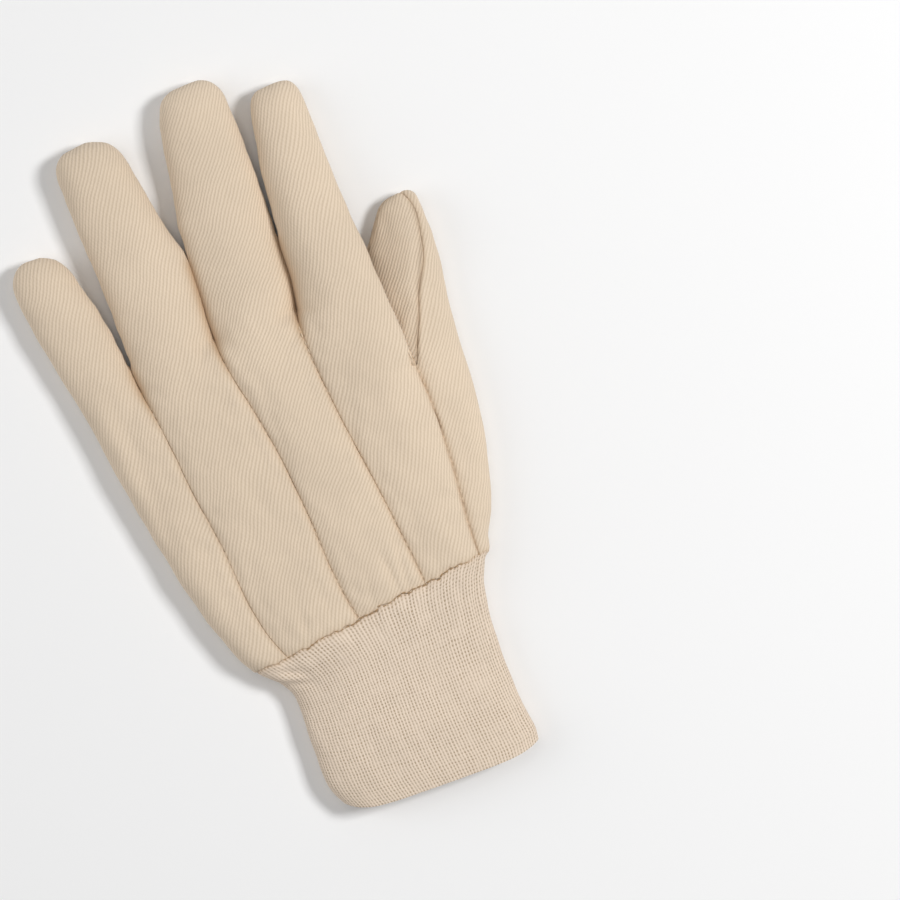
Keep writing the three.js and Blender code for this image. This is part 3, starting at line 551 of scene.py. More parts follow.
    @staticmethod
    def arc_from(points: np.ndarray, column: int) -> np.ndarray:
        """Returns the length along a row of points, counted from one of its columns."""
        steps = np.linalg.norm(np.diff(points, axis=0), axis=1)
        length = np.concatenate([[0.0], np.cumsum(steps)])
        return length - length[column]

    def upper_patch(self, number: int) -> Patch:
        """Builds the back of one strip, from its left edge over its crown to its right edge."""
        finger = self.fingers[number]
        shares = self.half_shares()
        rows, cloth = [], []
        for y in self.rows_of(finger):
            left = self.half_points(self.half_form(number, -1, y), -1, shares)
            right = self.half_points(self.half_form(number, 1, y), 1, shares)
            section = np.concatenate([left[::-1], right[1:]])
            points = self.row(section[:, 0], y, section[:, 1], False)
            rows.append(points)
            along = self.arc_from(section, len(shares) - 1) + section[len(shares) - 1, 0]
            cloth.append(np.stack([along, points[:, 1]], axis=1))
        return Patch(np.array(rows), np.array(cloth))

    def under_line(self, number: int, y: float) -> float:
        """Returns where the palm's line below the crotch left of a finger runs."""
        left = self.edge_point(0, -1, y)[0]
        even = mix(left, self.palm_seam(min(y, SIZES.thumb_crotch)), number / len(self.fingers))
        crotch = self.fingers[number].left_crotch
        return mix(even, self.fingers[number].left_side(crotch), ramp(y, SIZES.thumb_crotch * 0.4, crotch))

    def lower_edge(self, number: int, side: int, y: float) -> tuple[float, float]:
        """Returns (x, z) of the palm's edge under one side of a strip."""
        finger = self.fingers[number]
        crotch = finger.left_crotch if side < 0 else finger.right_crotch
        outer = (number == 0 and side < 0) or (number == 3 and side > 0)
        if y < crotch and not outer:
            return self.under_line(number if side < 0 else number + 1, y), 0.0
        return self.edge_point(number, side, y)

    def crotch_dip(self, y: float) -> float:
        """Returns how far the rows dip towards the thumb's crotch on the palm side."""
        crotch, drop = SIZES.thumb_crotch, SIZES.thumb_crotch_drop
        if y < crotch:
            return drop * ramp(y, crotch * 0.55, crotch)
        return drop * (1 - ramp(y, crotch, crotch + 4 * drop))

    def web_side_height(self, y: float) -> float:
        """Returns the height of the palm's edge beside the thumb."""
        crotch = SIZES.thumb_crotch
        if y < crotch:
            return SIZES.web_height * ramp(y, crotch * 0.7, crotch)
        return SIZES.web_height * (1 - ramp(y, crotch, SIZES.hand_length))

    def web_line(self, y: float) -> tuple[float, float]:
        """Returns (x, z) of the line on the palm beside the folded thumb."""
        if y <= SIZES.thumb_crotch:
            return self.palm_seam(y), self.web_side_height(y)
        left, right = self.lower_edge(3, -1, y), self.lower_edge(3, 1, y)
        share = ramp(y, SIZES.thumb_crotch, SIZES.hand_length)
        inward, run = 0.4, 15.0
        x = mix(self.palm_seam(SIZES.thumb_crotch), mix(left[0], right[0], inward), share)
        on_finger = ramp(y, SIZES.hand_length - run, SIZES.hand_length + run)
        return x, mix(self.web_side_height(y), mix(left[1], right[1], inward), on_finger)

    def lower_patch(self, number: int) -> Patch:
        """Builds the palm under one strip."""
        shares = np.linspace(0.0, 1.0, self.LOWER_STEPS + 1)
        rows, cloth = [], []
        for y in self.rows_of(self.fingers[number]):
            left = self.lower_edge(number, -1, y)
            dip, power = 0.0, 1.0
            if number == 3:
                right, dip, power = self.web_line(y), self.crotch_dip(y), 2.0
            else:
                right = self.lower_edge(number, 1, y)
            x = left[0] + (right[0] - left[0]) * shares
            points = self.row(x, y - dip * shares, left[1] + (right[1] - left[1]) * shares**power, True)
            rows.append(points)
            cloth.append(np.stack([-points[:, 0], points[:, 1]], axis=1))
        return Patch(np.array(rows), np.array(cloth), flip=True)

    def web_patch(self) -> Patch:
        """Builds the palm above the folded thumb."""
        shares = np.linspace(0.0, 1.0, self.WEB_STEPS + 1)
        rows, cloth = [], []
        for y in self.rows_of(self.fingers[3]):
            if y < SIZES.thumb_crotch - 1e-6:
                continue
            left, right = self.web_line(y), self.edge_point(3, 1, y)
            x = left[0] + (right[0] - left[0]) * shares
            z = left[1] + (right[1] - left[1]) * shares
            points = self.row(x, y - self.crotch_dip(y) * (1 - shares), z, True)
            rows.append(points)
            cloth.append(np.stack([-points[:, 0], points[:, 1]], axis=1))
        return Patch(np.array(rows), np.array(cloth), flip=True)

    def thumb_form(self, y: float) -> dict[str, float]:
        """Works out the thumb's section at a row; below its crotch it is part of the hand."""
        tuck, side = SIZES.side_tuck, SIZES.side_height
        if y <= SIZES.thumb_crotch:
            seam = self.edge_point(3, 1, y)
            return {
                "left": self.palm_seam(y), "left_height": self.web_side_height(y),
                "right": self.radial_line(y), "side": side, "floor": 0.0, "seam": seam[0],
                "seam_height": seam[1], "tuck": tuck, "dip": self.crotch_dip(y),
            }
        along = y - SIZES.thumb_crotch
        width, top, floor_cap = (cap_share(self.thumb_cap, self.thumb_tip, y, power)
                                 for power in (4.2, 2.4, 4))
        left, right = self.thumb["left"](along), self.thumb["right"](along)
        middle = (left + right) / 2
        start = self.edge_point(3, 1, SIZES.thumb_crotch)
        joined = 1 - ramp(y, SIZES.thumb_crotch, SIZES.thumb_crotch + 9)
        reach = SIZES.thumb_reach
        left_height = mix(SIZES.web_height, side, ramp(along, 0.6 * reach, 0.85 * reach))
        seam_height = mix(self.thumb["height"](along), start[1], joined)
        return {
            "left": middle + (left - middle) * width, "left_height": mix(side, left_height, top),
            "right": middle + (right - middle) * width, "side": side, "floor": mix(side, 0.0, floor_cap),
            "seam": middle + (self.thumb["seam"](along) - middle) * width,
            "seam_height": mix(side, seam_height, top), "tuck": tuck * width,
            "dip": SIZES.thumb_crotch_drop * (1 - along / reach),
        }

    def thumb_rows(self) -> list[float]:
        """Returns the thumb's rows beyond its crotch."""
        return rows_with_cap(SIZES.thumb_crotch, self.thumb_cap, self.thumb_tip, self.ROW_STEP)

    def thumb_outer_patch(self) -> Patch:
        """Builds the outer panel, from the seam on the back round the thumb's edge to the other seam."""
        edge = np.array(self.EDGE_SHARES)
        top = np.concatenate([edge, np.linspace(edge[-1], 1.0, 14)[1:]]) * QUARTER
        corner = np.linspace(0.0, QUARTER, 7)[1:]
        flat = np.linspace(0.0, 1.0, 16)[1:]
        rows, cloth = [], []
        hand = [y for y in self.hand_rows if y <= SIZES.thumb_crotch + 1e-6]
        for y in hand + self.thumb_rows():
            form = self.thumb_form(y)
            left, right, tuck = form["left"], form["right"], form["tuck"]
            breadth = max(right - left, SIZES.seam_gap)
            start, end = right - tuck, left + min(SIZES.web_height, (right - left) / 3)
            x_flat = start + (end - start) * flat
            share_left = (start - end) / breadth + (1 - (start - end) / breadth) * corner / QUARTER
            xs = [form["seam"] + (right - form["seam"]) * np.sin(top), right - tuck * (1 - np.cos(corner)),
                  x_flat, end + (left - end) * np.sin(corner)]
            zs = [form["side"] + (form["seam_height"] - form["side"]) * np.cos(top),
                  form["side"] + (form["floor"] - form["side"]) * np.sin(corner),
                  np.full_like(flat, form["floor"]),
                  form["left_height"] + (form["floor"] - form["left_height"]) * np.cos(corner)]
            dips = [0 * top, 0 * corner, (start - x_flat) / breadth, share_left]
            upper = self.row(xs[0], y, zs[0], False)
            lower = self.row(np.concatenate(xs[1:]), y - form["dip"] * np.concatenate(dips[1:]),
                             np.concatenate(zs[1:]), True)
            points = np.concatenate([upper, lower])
            rows.append(points)
            along = form["seam"] + self.arc_from(points[:, [0, 2]], 0)
            cloth.append(np.stack([along, points[:, 1]], axis=1))
        return Patch(np.array(rows), np.array(cloth))

    def cover_height(self, x: np.ndarray, y: float) -> np.ndarray:
        """Returns the height of the hand's underside above the thumb."""
        left, form = self.web_line(y), self.half_form(3, 1, y)
        right = self.edge_point(3, 1, y)
        share = np.clip((x - left[0]) / (right[0] - left[0]), 0.0, 1.0)
        return left[1] + (right[1] - left[1]) * share + np.maximum(x - form.middle - form.half, 0.0)

    def thumb_inner_patch(self) -> Patch:
        """Builds the inner panel, from the thumb's hidden edge to the seam on its back."""
        edge = np.array(self.EDGE_SHARES)
        shares = np.concatenate([edge, np.linspace(edge[-1], 1 - edge[-1], 16)[1:-1], 1 - edge[::-1]])
        rows, cloth = [], []
        for y in [SIZES.thumb_crotch] + self.thumb_rows():
            form = self.thumb_form(y)
            x = form["left"] + (form["seam"] - form["left"]) * shares
            rise = form["seam_height"] - form["left_height"]
            straight = form["left_height"] + rise * shares
            round_top = form["left_height"] + rise * np.sin(shares * QUARTER)
            under = np.maximum(self.cover_height(x, y) - SIZES.thumb_clearance, straight * 0.5)
            share = ramp(y, SIZES.thumb_crotch, SIZES.thumb_crotch + 6)
            z = straight + (np.minimum(round_top, under) - straight) * share
            z[0], z[-1] = straight[0], straight[-1]
            points = self.row(x, y - form["dip"] * (1 - shares), z, False)
            rows.append(points)
            cloth.append(points[:, :2].copy())
        return Patch(np.array(rows), np.array(cloth))


@dataclass
class Crease:
    """A soft groove in the cloth, from one point to another seen from above.

    Attributes:
        start: (x, y) of one end.
        end: (x, y) of the other end.
        width: half the groove's width.
        depth: how deep it lies; negative stands proud.
        on_back: True for the back of the hand, False for the palm side.
    """

    start: tuple[float, float]
    end: tuple[float, float]
    width: float
    depth: float
    on_back: bool = True


CREASES = (
    Crease((-62.5, 102), (-58, 38), 3.2, 0.8),
    Crease((-66, 100), (-63, 60), 3.0, -0.4),
    Crease((-25, -3), (-24, 12), 1.7, 0.55),
    Crease((-15.3, -3), (-14.6, 10), 1.5, 0.5),
    Crease((-33, -5), (-31.5, 7), 1.6, 0.4),
    Crease((0, -1), (1.2, 11), 1.6, 0.5),
    Crease((11, 1.8), (8.8, 17), 1.5, 0.85),
    Crease((13.5, 2.2), (15.4, 20), 1.5, 0.85),
    Crease((26, 4), (27, 15), 1.7, 0.35),
    Crease((33.5, 180), (34.6, 166), 1.4, 0.7),
    Crease((6, 184), (-1, 169), 3.5, 0.5),
    Crease((-2, 178), (6, 166), 3.0, 0.35),
    Crease((-79, 136), (-75, 130), 2.0, 0.4),
    Crease((-24, 109), (-29, 100), 2.2, 0.5),
    Crease((-19, 108), (-13, 100), 2.4, 0.45),
    Crease((8, 104), (3, 96), 2.2, 0.4),
    Crease((10, 104), (15, 97), 2.2, 0.4),
    Crease((-52, 100), (-57, 92), 2.2, 0.4),
    Crease((44, 62), (50, 52), 2.6, 0.6),
    Crease((44.4, 78), (53.2, 100), 1.2, -0.75),
    Crease((52.6, 98), (61.0, 119), 1.2, -0.9),
    Crease((60.8, 117), (61.4, 132), 1.2, -0.8),
    Crease((50.6, 100), (57.4, 117), 1.1, 0.6),
    Crease((-42, -8), (-31, -12), 1.5, 0.8),
    Crease((-39, -14), (-29, -16.5), 1.4, 0.7),
    Crease((-41, -11), (-31, -14), 1.2, -0.5),
    Crease((36, -4), (33, -15), 1.4, 0.5),
    Crease((31, -3), (29, -12), 1.3, 0.4),
    Crease((28, -60), (36, -52), 2.2, 0.5),
    Crease((47, 50), (49, 36), 3.0, 0.45),
    Crease((42, 70), (34, 66), 2.6, 0.4),
    Crease((14, 64), (0, 60), 3.0, 0.5, False),
    Crease((13, 56), (-4, 48), 3.0, 0.4, False),
    Crease((-50, 100), (-48, 80), 3.0, 0.4, False),
    Crease((-17, 106), (-15, 84), 3.0, 0.4, False),
)


class Sheet:
    """Patches joined where their points meet, with a normal at every point."""

    KEY = 200.0

    def __init__(self, name: str, patches: list[Patch], wall: float) -> None:
        """Joins the patches.

        Args:
            name: the piece's name.
            patches: its grids.
            wall: thickness of its cloth.
        """
        self.name = name
        self.wall = wall
        points, cloth, corners = [], [], []
        offset = 0
        for patch in patches:
            rows, columns = patch.points.shape[:2]
            points.append(patch.points.reshape(-1, 3))
            cloth.append(patch.cloth.reshape(-1, 2))
            number = np.arange(rows * columns).reshape(rows, columns) + offset
            a, b = number[:-1, :-1], number[:-1, 1:]
            c, d = number[1:, 1:], number[1:, :-1]
            quads = np.stack([a, d, c, b] if patch.flip else [a, b, c, d], axis=-1)
            corners.append(quads.reshape(-1, 4))
            offset += rows * columns
        every = np.concatenate(points)
        self.cloth = np.concatenate(cloth)
        keys = np.round(every * self.KEY).astype(np.int64)
        _, first, inverse = np.unique(keys, axis=0, return_index=True, return_inverse=True)
        self.points = every[first]
        inverse = inverse.reshape(-1)
        self.faces: list[list[int]] = []
        self.face_cloth: list[list[int]] = []
        for quad in np.concatenate(corners):
            merged, flat = [], []
            for corner in quad:
                number = int(inverse[corner])
                if number not in merged:
                    merged.append(number)
                    flat.append(int(corner))
            if len(merged) > 2:
                self.faces.append(merged)
                self.face_cloth.append(flat)
        self.border = self._find_border()
        self.normals = self._find_normals()
        self.inward = self._find_inward()

    def _find_border(self) -> list[tuple[int, int]]:
        """Returns the directed edges that only one face has."""
        edges = set()
        for face in self.faces:
            edges.update(zip(face, face[1:] + face[:1]))
        return [edge for edge in edges if (edge[1], edge[0]) not in edges]

    def _find_normals(self) -> np.ndarray:
        """Returns the outward normal at each point."""
        normals = np.zeros_like(self.points)
        quads = np.array([face if len(face) == 4 else face + face[-1:] for face in self.faces])
        a, b, c, d = (self.points[quads[:, corner]] for corner in range(4))
        areas = np.cross(c - a, d - b)
        for corner in range(4):
            np.add.at(normals, quads[:, corner], areas)
        return normals / np.maximum(np.linalg.norm(normals, axis=1, keepdims=True), 1e-12)

    def _find_inward(self) -> dict[int, np.ndarray]:
        """Returns the direction into the sheet at each border point."""
        inward: dict[int, np.ndarray] = {}
        for start, end in self.border:
            along = self.points[end] - self.points[start]
            along = along / max(np.linalg.norm(along), 1e-9)
            for number in (start, end):
                inward[number] = inward.get(number, 0.0) + np.cross(self.normals[number], along)
        return {number: value / max(np.linalg.norm(value), 1e-9) for number, value in inward.items()}


def share_normals(sheets: list[Sheet]) -> None:
    """Makes the normals of two sheets agree along their seam, except in a deep fold.

    Args:
        sheets: every sheet of the glove.
    """
    meeting: dict[tuple[int, ...], list[tuple[Sheet, int, np.ndarray]]] = {}
    for sheet in sheets:
        for number in sheet.inward:
            key = tuple(np.round(sheet.points[number] * 50).astype(int))
            meeting.setdefault(key, []).append((sheet, number, sheet.normals[number].copy()))
    for group in meeting.values():
        for sheet, number, normal in group:
            total = normal.copy()
            for other, other_number, other_normal in group:
                if other is sheet:
                    continue
                into, other_into = sheet.inward[number], other.inward[other_number]
                if into @ other_normal < 0.5 and other_into @ normal < 0.5:
                    total += other_normal
            sheet.normals[number] = total / max(np.linalg.norm(total), 1e-9)


class Seam(Enum):
    """How a line of sewing shows."""

    TURNED = "turned"
    TOPPED = "topped"
    OVERLOCK = "overlock"


class Relief:
    """The small form of the cloth: rolled seam edges, puckers, creases and slackness, with the painted shade
    beside the seams and in the folds.
    """

    ROLL = 0.42
    VALLEY = 0.5
    VALLEY_REACH = 1.8
    PUCKER_PITCH = 5.0
    PUCKER_REACH = 6.0
    BROAD_SLACK = 26.0
    SMALL_SLACK = 9.0
    PRESS_REACH = 3.2
    PRESSED_OUT = 0.85
    PRESSED_BELOW = 15.0
    # Reach and strength of the painted shade beside the seams and in the folds between pressed fingers.
    SHADE_REACH = 1.0
    FOLD_REACH = 2.0
    FOLD_BELOW = 24.0
    DARKEST_PAINTED_SHADE = 0.85
    CREASE_END = 0.35

    def __init__(self, lines: list[np.ndarray], form: GloveForm) -> None:
        """Keeps the sewn lines.

        Args:
            lines: polylines of every seam, in millimetres.
            form: the glove's surface, for where its fingers lie against each other.
        """
        self.form = form
        samples = []
        for line in lines:
            for start, end in zip(line[:-1], line[1:]):
                count = max(int(np.linalg.norm(end - start) / 0.25), 1)
                shares = np.linspace(0, 1, count, endpoint=False)[:, None]
                samples.append(start + (end - start) * shares)
        every = np.concatenate(samples)
        self.tree = KDTree(len(every))
        for number, point in enumerate(every):
            self.tree.insert(Vector(point), number)
        self.tree.balance()

    def seam_distance(self, points: np.ndarray) -> np.ndarray:
        """Returns each point's distance to the nearest seam."""
        return np.array([self.tree.find(Vector(point))[2] for point in points])

    def pressed(self, points: np.ndarray, reach: float, below: float) -> np.ndarray:
        """Finds where two fingers lie against each other.

        Args:
            points: points of a sheet.
            reach: how far from the line between them it goes.
            below: how far below the crotch it goes on, fading.

        Returns:
            1 on that line, falling to 0 away from it.
        """
        share = np.zeros(len(points))
        hand = SIZES.hand_length
        for number, end in ((0, SIZES.little_crotch + 3), (1, hand + 25), (2, hand + 22)):
            finger = self.form.fingers[number]
            start = finger.right_crotch - below
            ys = np.arange(start, end, 1.0)
            line = np.array([finger.right_side(y) for y in ys])
            away = points[:, 0] - np.interp(points[:, 1], ys, line)
            along = np.clip((points[:, 1] - start) / below, 0, 1) * np.clip((end - points[:, 1]) / 4, 0, 1)
            share = np.maximum(share, along * np.exp(-((away / reach) ** 2)))
        return share * np.clip((points[:, 2] - 1.0) / 2, 0, 1)

    def shade(self, points: np.ndarray) -> np.ndarray:
        """Returns how much painted shade browns the cloth at each point, beside the sewing and in the deep
        folds where fingers press together.
        """
        near = np.exp(-((self.seam_distance(points) / self.SHADE_REACH) ** 2))
        back = np.clip(points[:, 2] / 4 - 0.5, 0.3, 1.0)
        folds = self.pressed(points, self.FOLD_REACH, self.FOLD_BELOW)
        # Painted shade: brown beside the seams, stronger higher on the back, and darkest in the folds between
        # pressed fingers.
        return np.clip(0.24 * near * back + 0.8 * folds, 0.0, self.DARKEST_PAINTED_SHADE)

    @staticmethod
    def _noise(points: np.ndarray, length: float, shift: float) -> np.ndarray:
        """Returns smooth noise over the points, with features of one length."""
        scaled = points / length + shift
        return np.array([noise(Vector(point)) for point in scaled])

    def height(self, points: np.ndarray, normals: np.ndarray) -> np.ndarray:
        """Returns how far each point stands out of the plain form.

        Args:
            points: points of a sheet.
            normals: their normals.

        Returns:
            The height along the normal, in millimetres.
        """
        distance = self.seam_distance(points)
        inside = np.clip(1 - distance / self.ROLL, 0.0, 1.0)
        roll = -self.ROLL * (1 - np.sqrt(np.maximum(1 - inside**2, 0.0)))
        pucker = self._noise(points * np.array([1.0, 1.0, 0.4]), self.PUCKER_PITCH, 3.7)
        near = np.exp(-distance / self.PUCKER_REACH) * (1 - np.exp(-distance / 1.5))
        flat = np.clip(np.abs(normals[:, 2]) * 1.6 - 0.3, 0.0, 1.0)
        valley = self.VALLEY * flat * np.exp(-((distance / self.VALLEY_REACH) ** 2))
        height = roll + 1.1 * near * pucker - valley
        broad, small = self._noise(points, self.BROAD_SLACK, 11.3), self._noise(points, self.SMALL_SLACK, 5.1)
        height += 0.7 * broad + 0.34 * small
        slanted = points @ np.array([[1.0, 0.35, 0.0], [0.35, 0.25, 0.0], [0.0, 0.0, 0.5]])
        height += 0.16 * self._noise(slanted, 4.5, 8.2) * np.clip(distance / 4, 0, 1)
        back = np.clip(normals[:, 2] * 2, 0.0, 1.0)
        palm = np.clip(-normals[:, 2] * 2, 0.0, 1.0)
        for crease in CREASES:
            start, end = np.array(crease.start), np.array(crease.end)
            along = end - start
            share = np.clip(((points[:, :2] - start) @ along) / (along @ along), 0.0, 1.0)
            away = np.linalg.norm(points[:, :2] - start - share[:, None] * along, axis=1)
            shown = back if crease.on_back else palm
            taper = mix(self.CREASE_END, 1.0, np.sin(np.pi * np.clip(share, 0.02, 0.98)) ** 0.5)
            height -= crease.depth * taper * np.exp(-((away / crease.width) ** 2)) * shown
        pressed = self.pressed(points, self.PRESS_REACH, self.PRESSED_BELOW)
        return height * (1 - pressed) + self.PRESSED_OUT * pressed


def wrist_gather(points: np.ndarray) -> np.ndarray:
    """Returns how far points near the wrist seam are drawn along the hand by its gathers.

    Args:
        points: points of a sheet, in millimetres.

    Returns:
        The shift along Y, the same for two sheets where they meet.
    """
    reach, fine, coarse, through = 3.5, 2.6, 7.0, 9.0
    near = np.exp(-np.abs(points[:, 1] - SIZES.wrist_slant * points[:, 0]) / reach)
    wave = [noise(Vector((x / fine, 0.3, z / through))) + 0.6 * noise(Vector((x / coarse, 4.1, z / through)))
            for x, _, z in points]
    return 1.15 * near * np.array(wave)


class ClothMesh:
    """Turns a sheet into a mesh object with a wall and the cloth's flat map."""

    CLOTH_MAP = "cloth"
    SEAM_SHADE = "seam_shade"

    def __init__(self, offset: np.ndarray) -> None:
        """Keeps where the glove's own frame lies in the row's frame.

        Args:
            offset: shift in millimetres.
        """
        self.offset = offset

    def build(self, sheet: Sheet, outer: np.ndarray, shade: np.ndarray) -> bpy.types.Object:
        """Builds the object of one sheet.

        Args:
            sheet: the sheet.
            outer: its points with all relief, in millimetres.
            shade: how much painted shade browns the cloth at each point, beside the seams and in the folds.

        Returns:
            The object, with its place in its mesh.
        """
        inner = outer - sheet.normals * sheet.wall
        inner[:, 2] = np.maximum(inner[:, 2], 0.05)
        points = (np.concatenate([outer, inner]) + self.offset) * MM
        count = len(outer)
        faces = [list(face) for face in sheet.faces]
        cloth = [list(flat) for flat in sheet.face_cloth]
        where = {}
        for face, flat in zip(sheet.faces, sheet.face_cloth):
            where.update(zip(face, flat))
            faces.append([number + count for number in reversed(face)])
            cloth.append(list(reversed(flat)))
        for start, end in sheet.border:
            faces.append([start, start + count, end + count, end])
            cloth.append([where[start], where[start], where[end], where[end]])
        mesh = bpy.data.meshes.new(sheet.name)
        mesh.from_pydata([tuple(point) for point in points], [], faces)
        layer = mesh.uv_layers.new(name=self.CLOTH_MAP)
        flat_places = sheet.cloth[np.concatenate([np.array(flat) for flat in cloth])]
        layer.data.foreach_set("uv", flat_places.astype(np.float32).reshape(-1))
        # Painted shade beside the seams and in the folds, kept on each point for the material.
        painted_shade = mesh.attributes.new(self.SEAM_SHADE, "FLOAT", "POINT")
        painted_shade.data.foreach_set("value", np.tile(shade, 2).astype(np.float32))
        mesh.polygons.foreach_set("use_smooth", [True] * len(faces))
        mesh.set_sharp_from_angle(angle=math.radians(62))
        mesh.update()
        piece = bpy.data.objects.new(sheet.name, mesh)
        bpy.context.scene.collection.objects.link(piece)
        return piece


@dataclass
class KnitCuff:
    """The knit wrist: one tube of wales and courses."""

    wale_pitch: float = 1.42
    course_pitch: float = 1.15
    columns_per_wale: int = 4

    def ring(self, form: GloveForm) -> np.ndarray:
        """Returns the hand's edge round the wrist, closed, starting at the thumb seam on the back."""
        upper = [form.upper_patch(number).points[0] for number in range(4)]
        lower = [form.lower_patch(number).points[0] for number in range(4)]
        thumb = form.thumb_outer_patch().points[0]
        parts = [thumb[:-1]] + [part[1:][::-1] for part in lower[::-1]] + [part[:-1] for part in upper]
        ring = np.concatenate(parts)
        return np.concatenate([ring, ring[:1]])

    def patch(self, form: GloveForm) -> Patch:
        """Builds the cuff's outer surface from its hem up to the wrist seam."""
        ring = self.ring(form)
        length = GloveForm.arc_from(ring, 0)
        wales = round(length[-1] / self.wale_pitch)
        even = np.linspace(0, length[-1], wales * self.columns_per_wale + 1)
        ring = np.stack([np.interp(even, length, ring[:, axis]) for axis in range(3)], axis=1)
        left_edge, right_edge = ring[:, 0].min(), ring[:, 0].max()
        across = (ring[:, 0] - (left_edge + right_edge) / 2) / ((right_edge - left_edge) / 2)
        places = [0.0] + [at * SIZES.cuff_length for at in CUFF_LINES.values("at")]
        left = SmoothLine(places, [left_edge] + [v * SIZES.cuff_width for v in CUFF_LINES.values("left")])
        right = SmoothLine(places, [right_edge] + [v * SIZES.cuff_width for v in CUFF_LINES.values("right")])
        height = CUFF_LINES.line("height", SIZES.cuff_length, SIZES.cuff_height)
        upper = ring[:, 2] > SIZES.side_height - 0.01
        bow = np.maximum(1 - np.abs(across) ** 2.4, 0) ** (1 / 2.4)
        under = SIZES.side_height * (1 - np.clip((1 - np.abs(across)) * 12, 0, 1))
        number = np.arange(len(even))
        rows, cloth = [], []
        depths = [SIZES.cuff_length * share for share in np.linspace(1, 0, 62)]
        ends = (0.3, 0.7)
        depths = [SIZES.cuff_length, *(SIZES.cuff_length - end for end in ends), *depths[1:-1],
                  *reversed(ends), 0.0]
        for depth in sorted(depths, reverse=True):
            middle, half = (left(depth) + right(depth)) / 2, (right(depth) - left(depth)) / 2
            own = ramp(depth, 0.0, SIZES.cuff_length * 0.25)
            top = SIZES.side_height + (height(depth) - SIZES.side_height) * bow
            formed = np.where(upper, top, np.minimum(ring[:, 2], under))
            z = ring[:, 2] + (formed - ring[:, 2]) * own
            hem = np.where(across < 0, 5.0, 3.4) * np.abs(across) ** 6 * depth / SIZES.cuff_length
            y = ring[:, 1] * (1 - ramp(depth, 0.0, SIZES.cuff_length * 0.6)) - depth + hem
            rows.append(np.stack([middle + across * half, y, z], axis=1))
            cloth.append(np.stack([number / self.columns_per_wale * self.wale_pitch,
                                   np.full(len(even), -depth)], axis=1))
        points = np.array(rows)
        points[:, -1] = points[:, 0]
        return Patch(points, np.array(cloth))


class StitchWork:
    """Stitches laid along a seam by Geometry Nodes."""

    def __init__(self, offset: np.ndarray) -> None:
        """Builds the tree that lays the stitches.

        Args:
            offset: where the glove's own frame lies in the row's frame, in millimetres.
        """
        self.offset = offset
        self.tree = self._tree()

    def _tree(self) -> bpy.types.NodeTree:
        """Returns a tree that lays one short thread after another along each line of a mesh."""
        tree = bpy.data.node_groups.new("stitches_along_seam", "GeometryNodeTree")
        face = tree.interface
        face.new_socket("Geometry", in_out="INPUT", socket_type="NodeSocketGeometry")
        for name, value in (("Pitch", 0.0028), ("Length", 0.002), ("Radius", 0.0003)):
            socket = face.new_socket(name, in_out="INPUT", socket_type="NodeSocketFloat")
            socket.default_value = value
        face.new_socket("Thread", in_out="INPUT", socket_type="NodeSocketMaterial")
        face.new_socket("Geometry", in_out="OUTPUT", socket_type="NodeSocketGeometry")
        given, result = tree.nodes.new("NodeGroupInput"), tree.nodes.new("NodeGroupOutput")
        curve, even, ball, shaped, along, turn, laid, real, painted = (tree.nodes.new(kind) for kind in (
            "GeometryNodeMeshToCurve", "GeometryNodeResampleCurve", "GeometryNodeMeshUVSphere",
            "GeometryNodeTransform", "GeometryNodeInputTangent", "FunctionNodeAlignRotationToVector",
            "GeometryNodeInstanceOnPoints", "GeometryNodeRealizeInstances", "GeometryNodeSetMaterial"))
        scale = tree.nodes.new("ShaderNodeCombineXYZ")
        half = math_node(tree, "MULTIPLY", given.outputs["Length"], 0.5).node
        even.mode = "LENGTH"
        turn.axis = "Z"
        for name, value in (("Segments", 8), ("Rings", 6), ("Radius", 1.0)):
            ball.inputs[name].default_value = value
        for source, output, target, entry in (
            (given, "Geometry", curve, "Mesh"), (curve, "Curve", even, "Curve"),
            (given, "Pitch", even, "Length"), (given, "Radius", scale, "X"),
            (given, "Radius", scale, "Y"), (half, "Value", scale, "Z"),
            (ball, "Mesh", shaped, "Geometry"), (scale, "Vector", shaped, "Scale"),
            (along, "Tangent", turn, "Vector"), (even, "Curve", laid, "Points"),
            (shaped, "Geometry", laid, "Instance"), (turn, "Rotation", laid, "Rotation"),
            (laid, "Instances", real, "Geometry"), (real, "Geometry", painted, "Geometry"),
            (given, "Thread", painted, "Material"), (painted, "Geometry", result, "Geometry"),
        ):
            tree.links.new(source.outputs[output], target.inputs[entry])
        return tree

    def _socket(self, name: str) -> str:
        """Returns the identifier of one of the tree's inputs."""
        for item in self.tree.interface.items_tree:
            if item.item_type == "SOCKET" and item.in_out == "INPUT" and item.name == name:
                return item.identifier
        raise KeyError(name)

    def lay(self, name: str, lines: list[np.ndarray], pitch: float, length: float, radius: float,
            thread: bpy.types.Material) -> bpy.types.Object:
        """Lays stitches along lines and returns them as one plain mesh.

        Args:
            name: the piece's name.
            lines: polylines in millimetres.
            pitch: from one stitch to the next, in millimetres.
            length: length of a stitch.
            radius: radius of its thread.
            thread: its material.

        Returns:
            The piece.
        """
        points, edges = [], []
        for line in lines:
            first = len(points)
            points.extend(tuple((point + self.offset) * MM) for point in line)
            edges.extend((first + step, first + step + 1) for step in range(len(line) - 1))
        path = bpy.data.meshes.new(name + "_path")
        path.from_pydata(points, edges, [])
        carrier = bpy.data.objects.new(name + "_path", path)
        bpy.context.scene.collection.objects.link(carrier)
        modifier = carrier.modifiers.new("stitches", "NODES")
        modifier.node_group = self.tree
        modifier[self._socket("Pitch")] = pitch * MM
        modifier[self._socket("Length")] = length * MM
        modifier[self._socket("Radius")] = radius * MM
        modifier[self._socket("Thread")] = thread
        depsgraph = bpy.context.evaluated_depsgraph_get()
        mesh = bpy.data.meshes.new_from_object(carrier.evaluated_get(depsgraph))
        mesh.name = name
        bpy.data.objects.remove(carrier)
        mesh.polygons.foreach_set("use_smooth", [True] * len(mesh.polygons))
        piece = bpy.data.objects.new(name, mesh)
        bpy.context.scene.collection.objects.link(piece)
        return piece


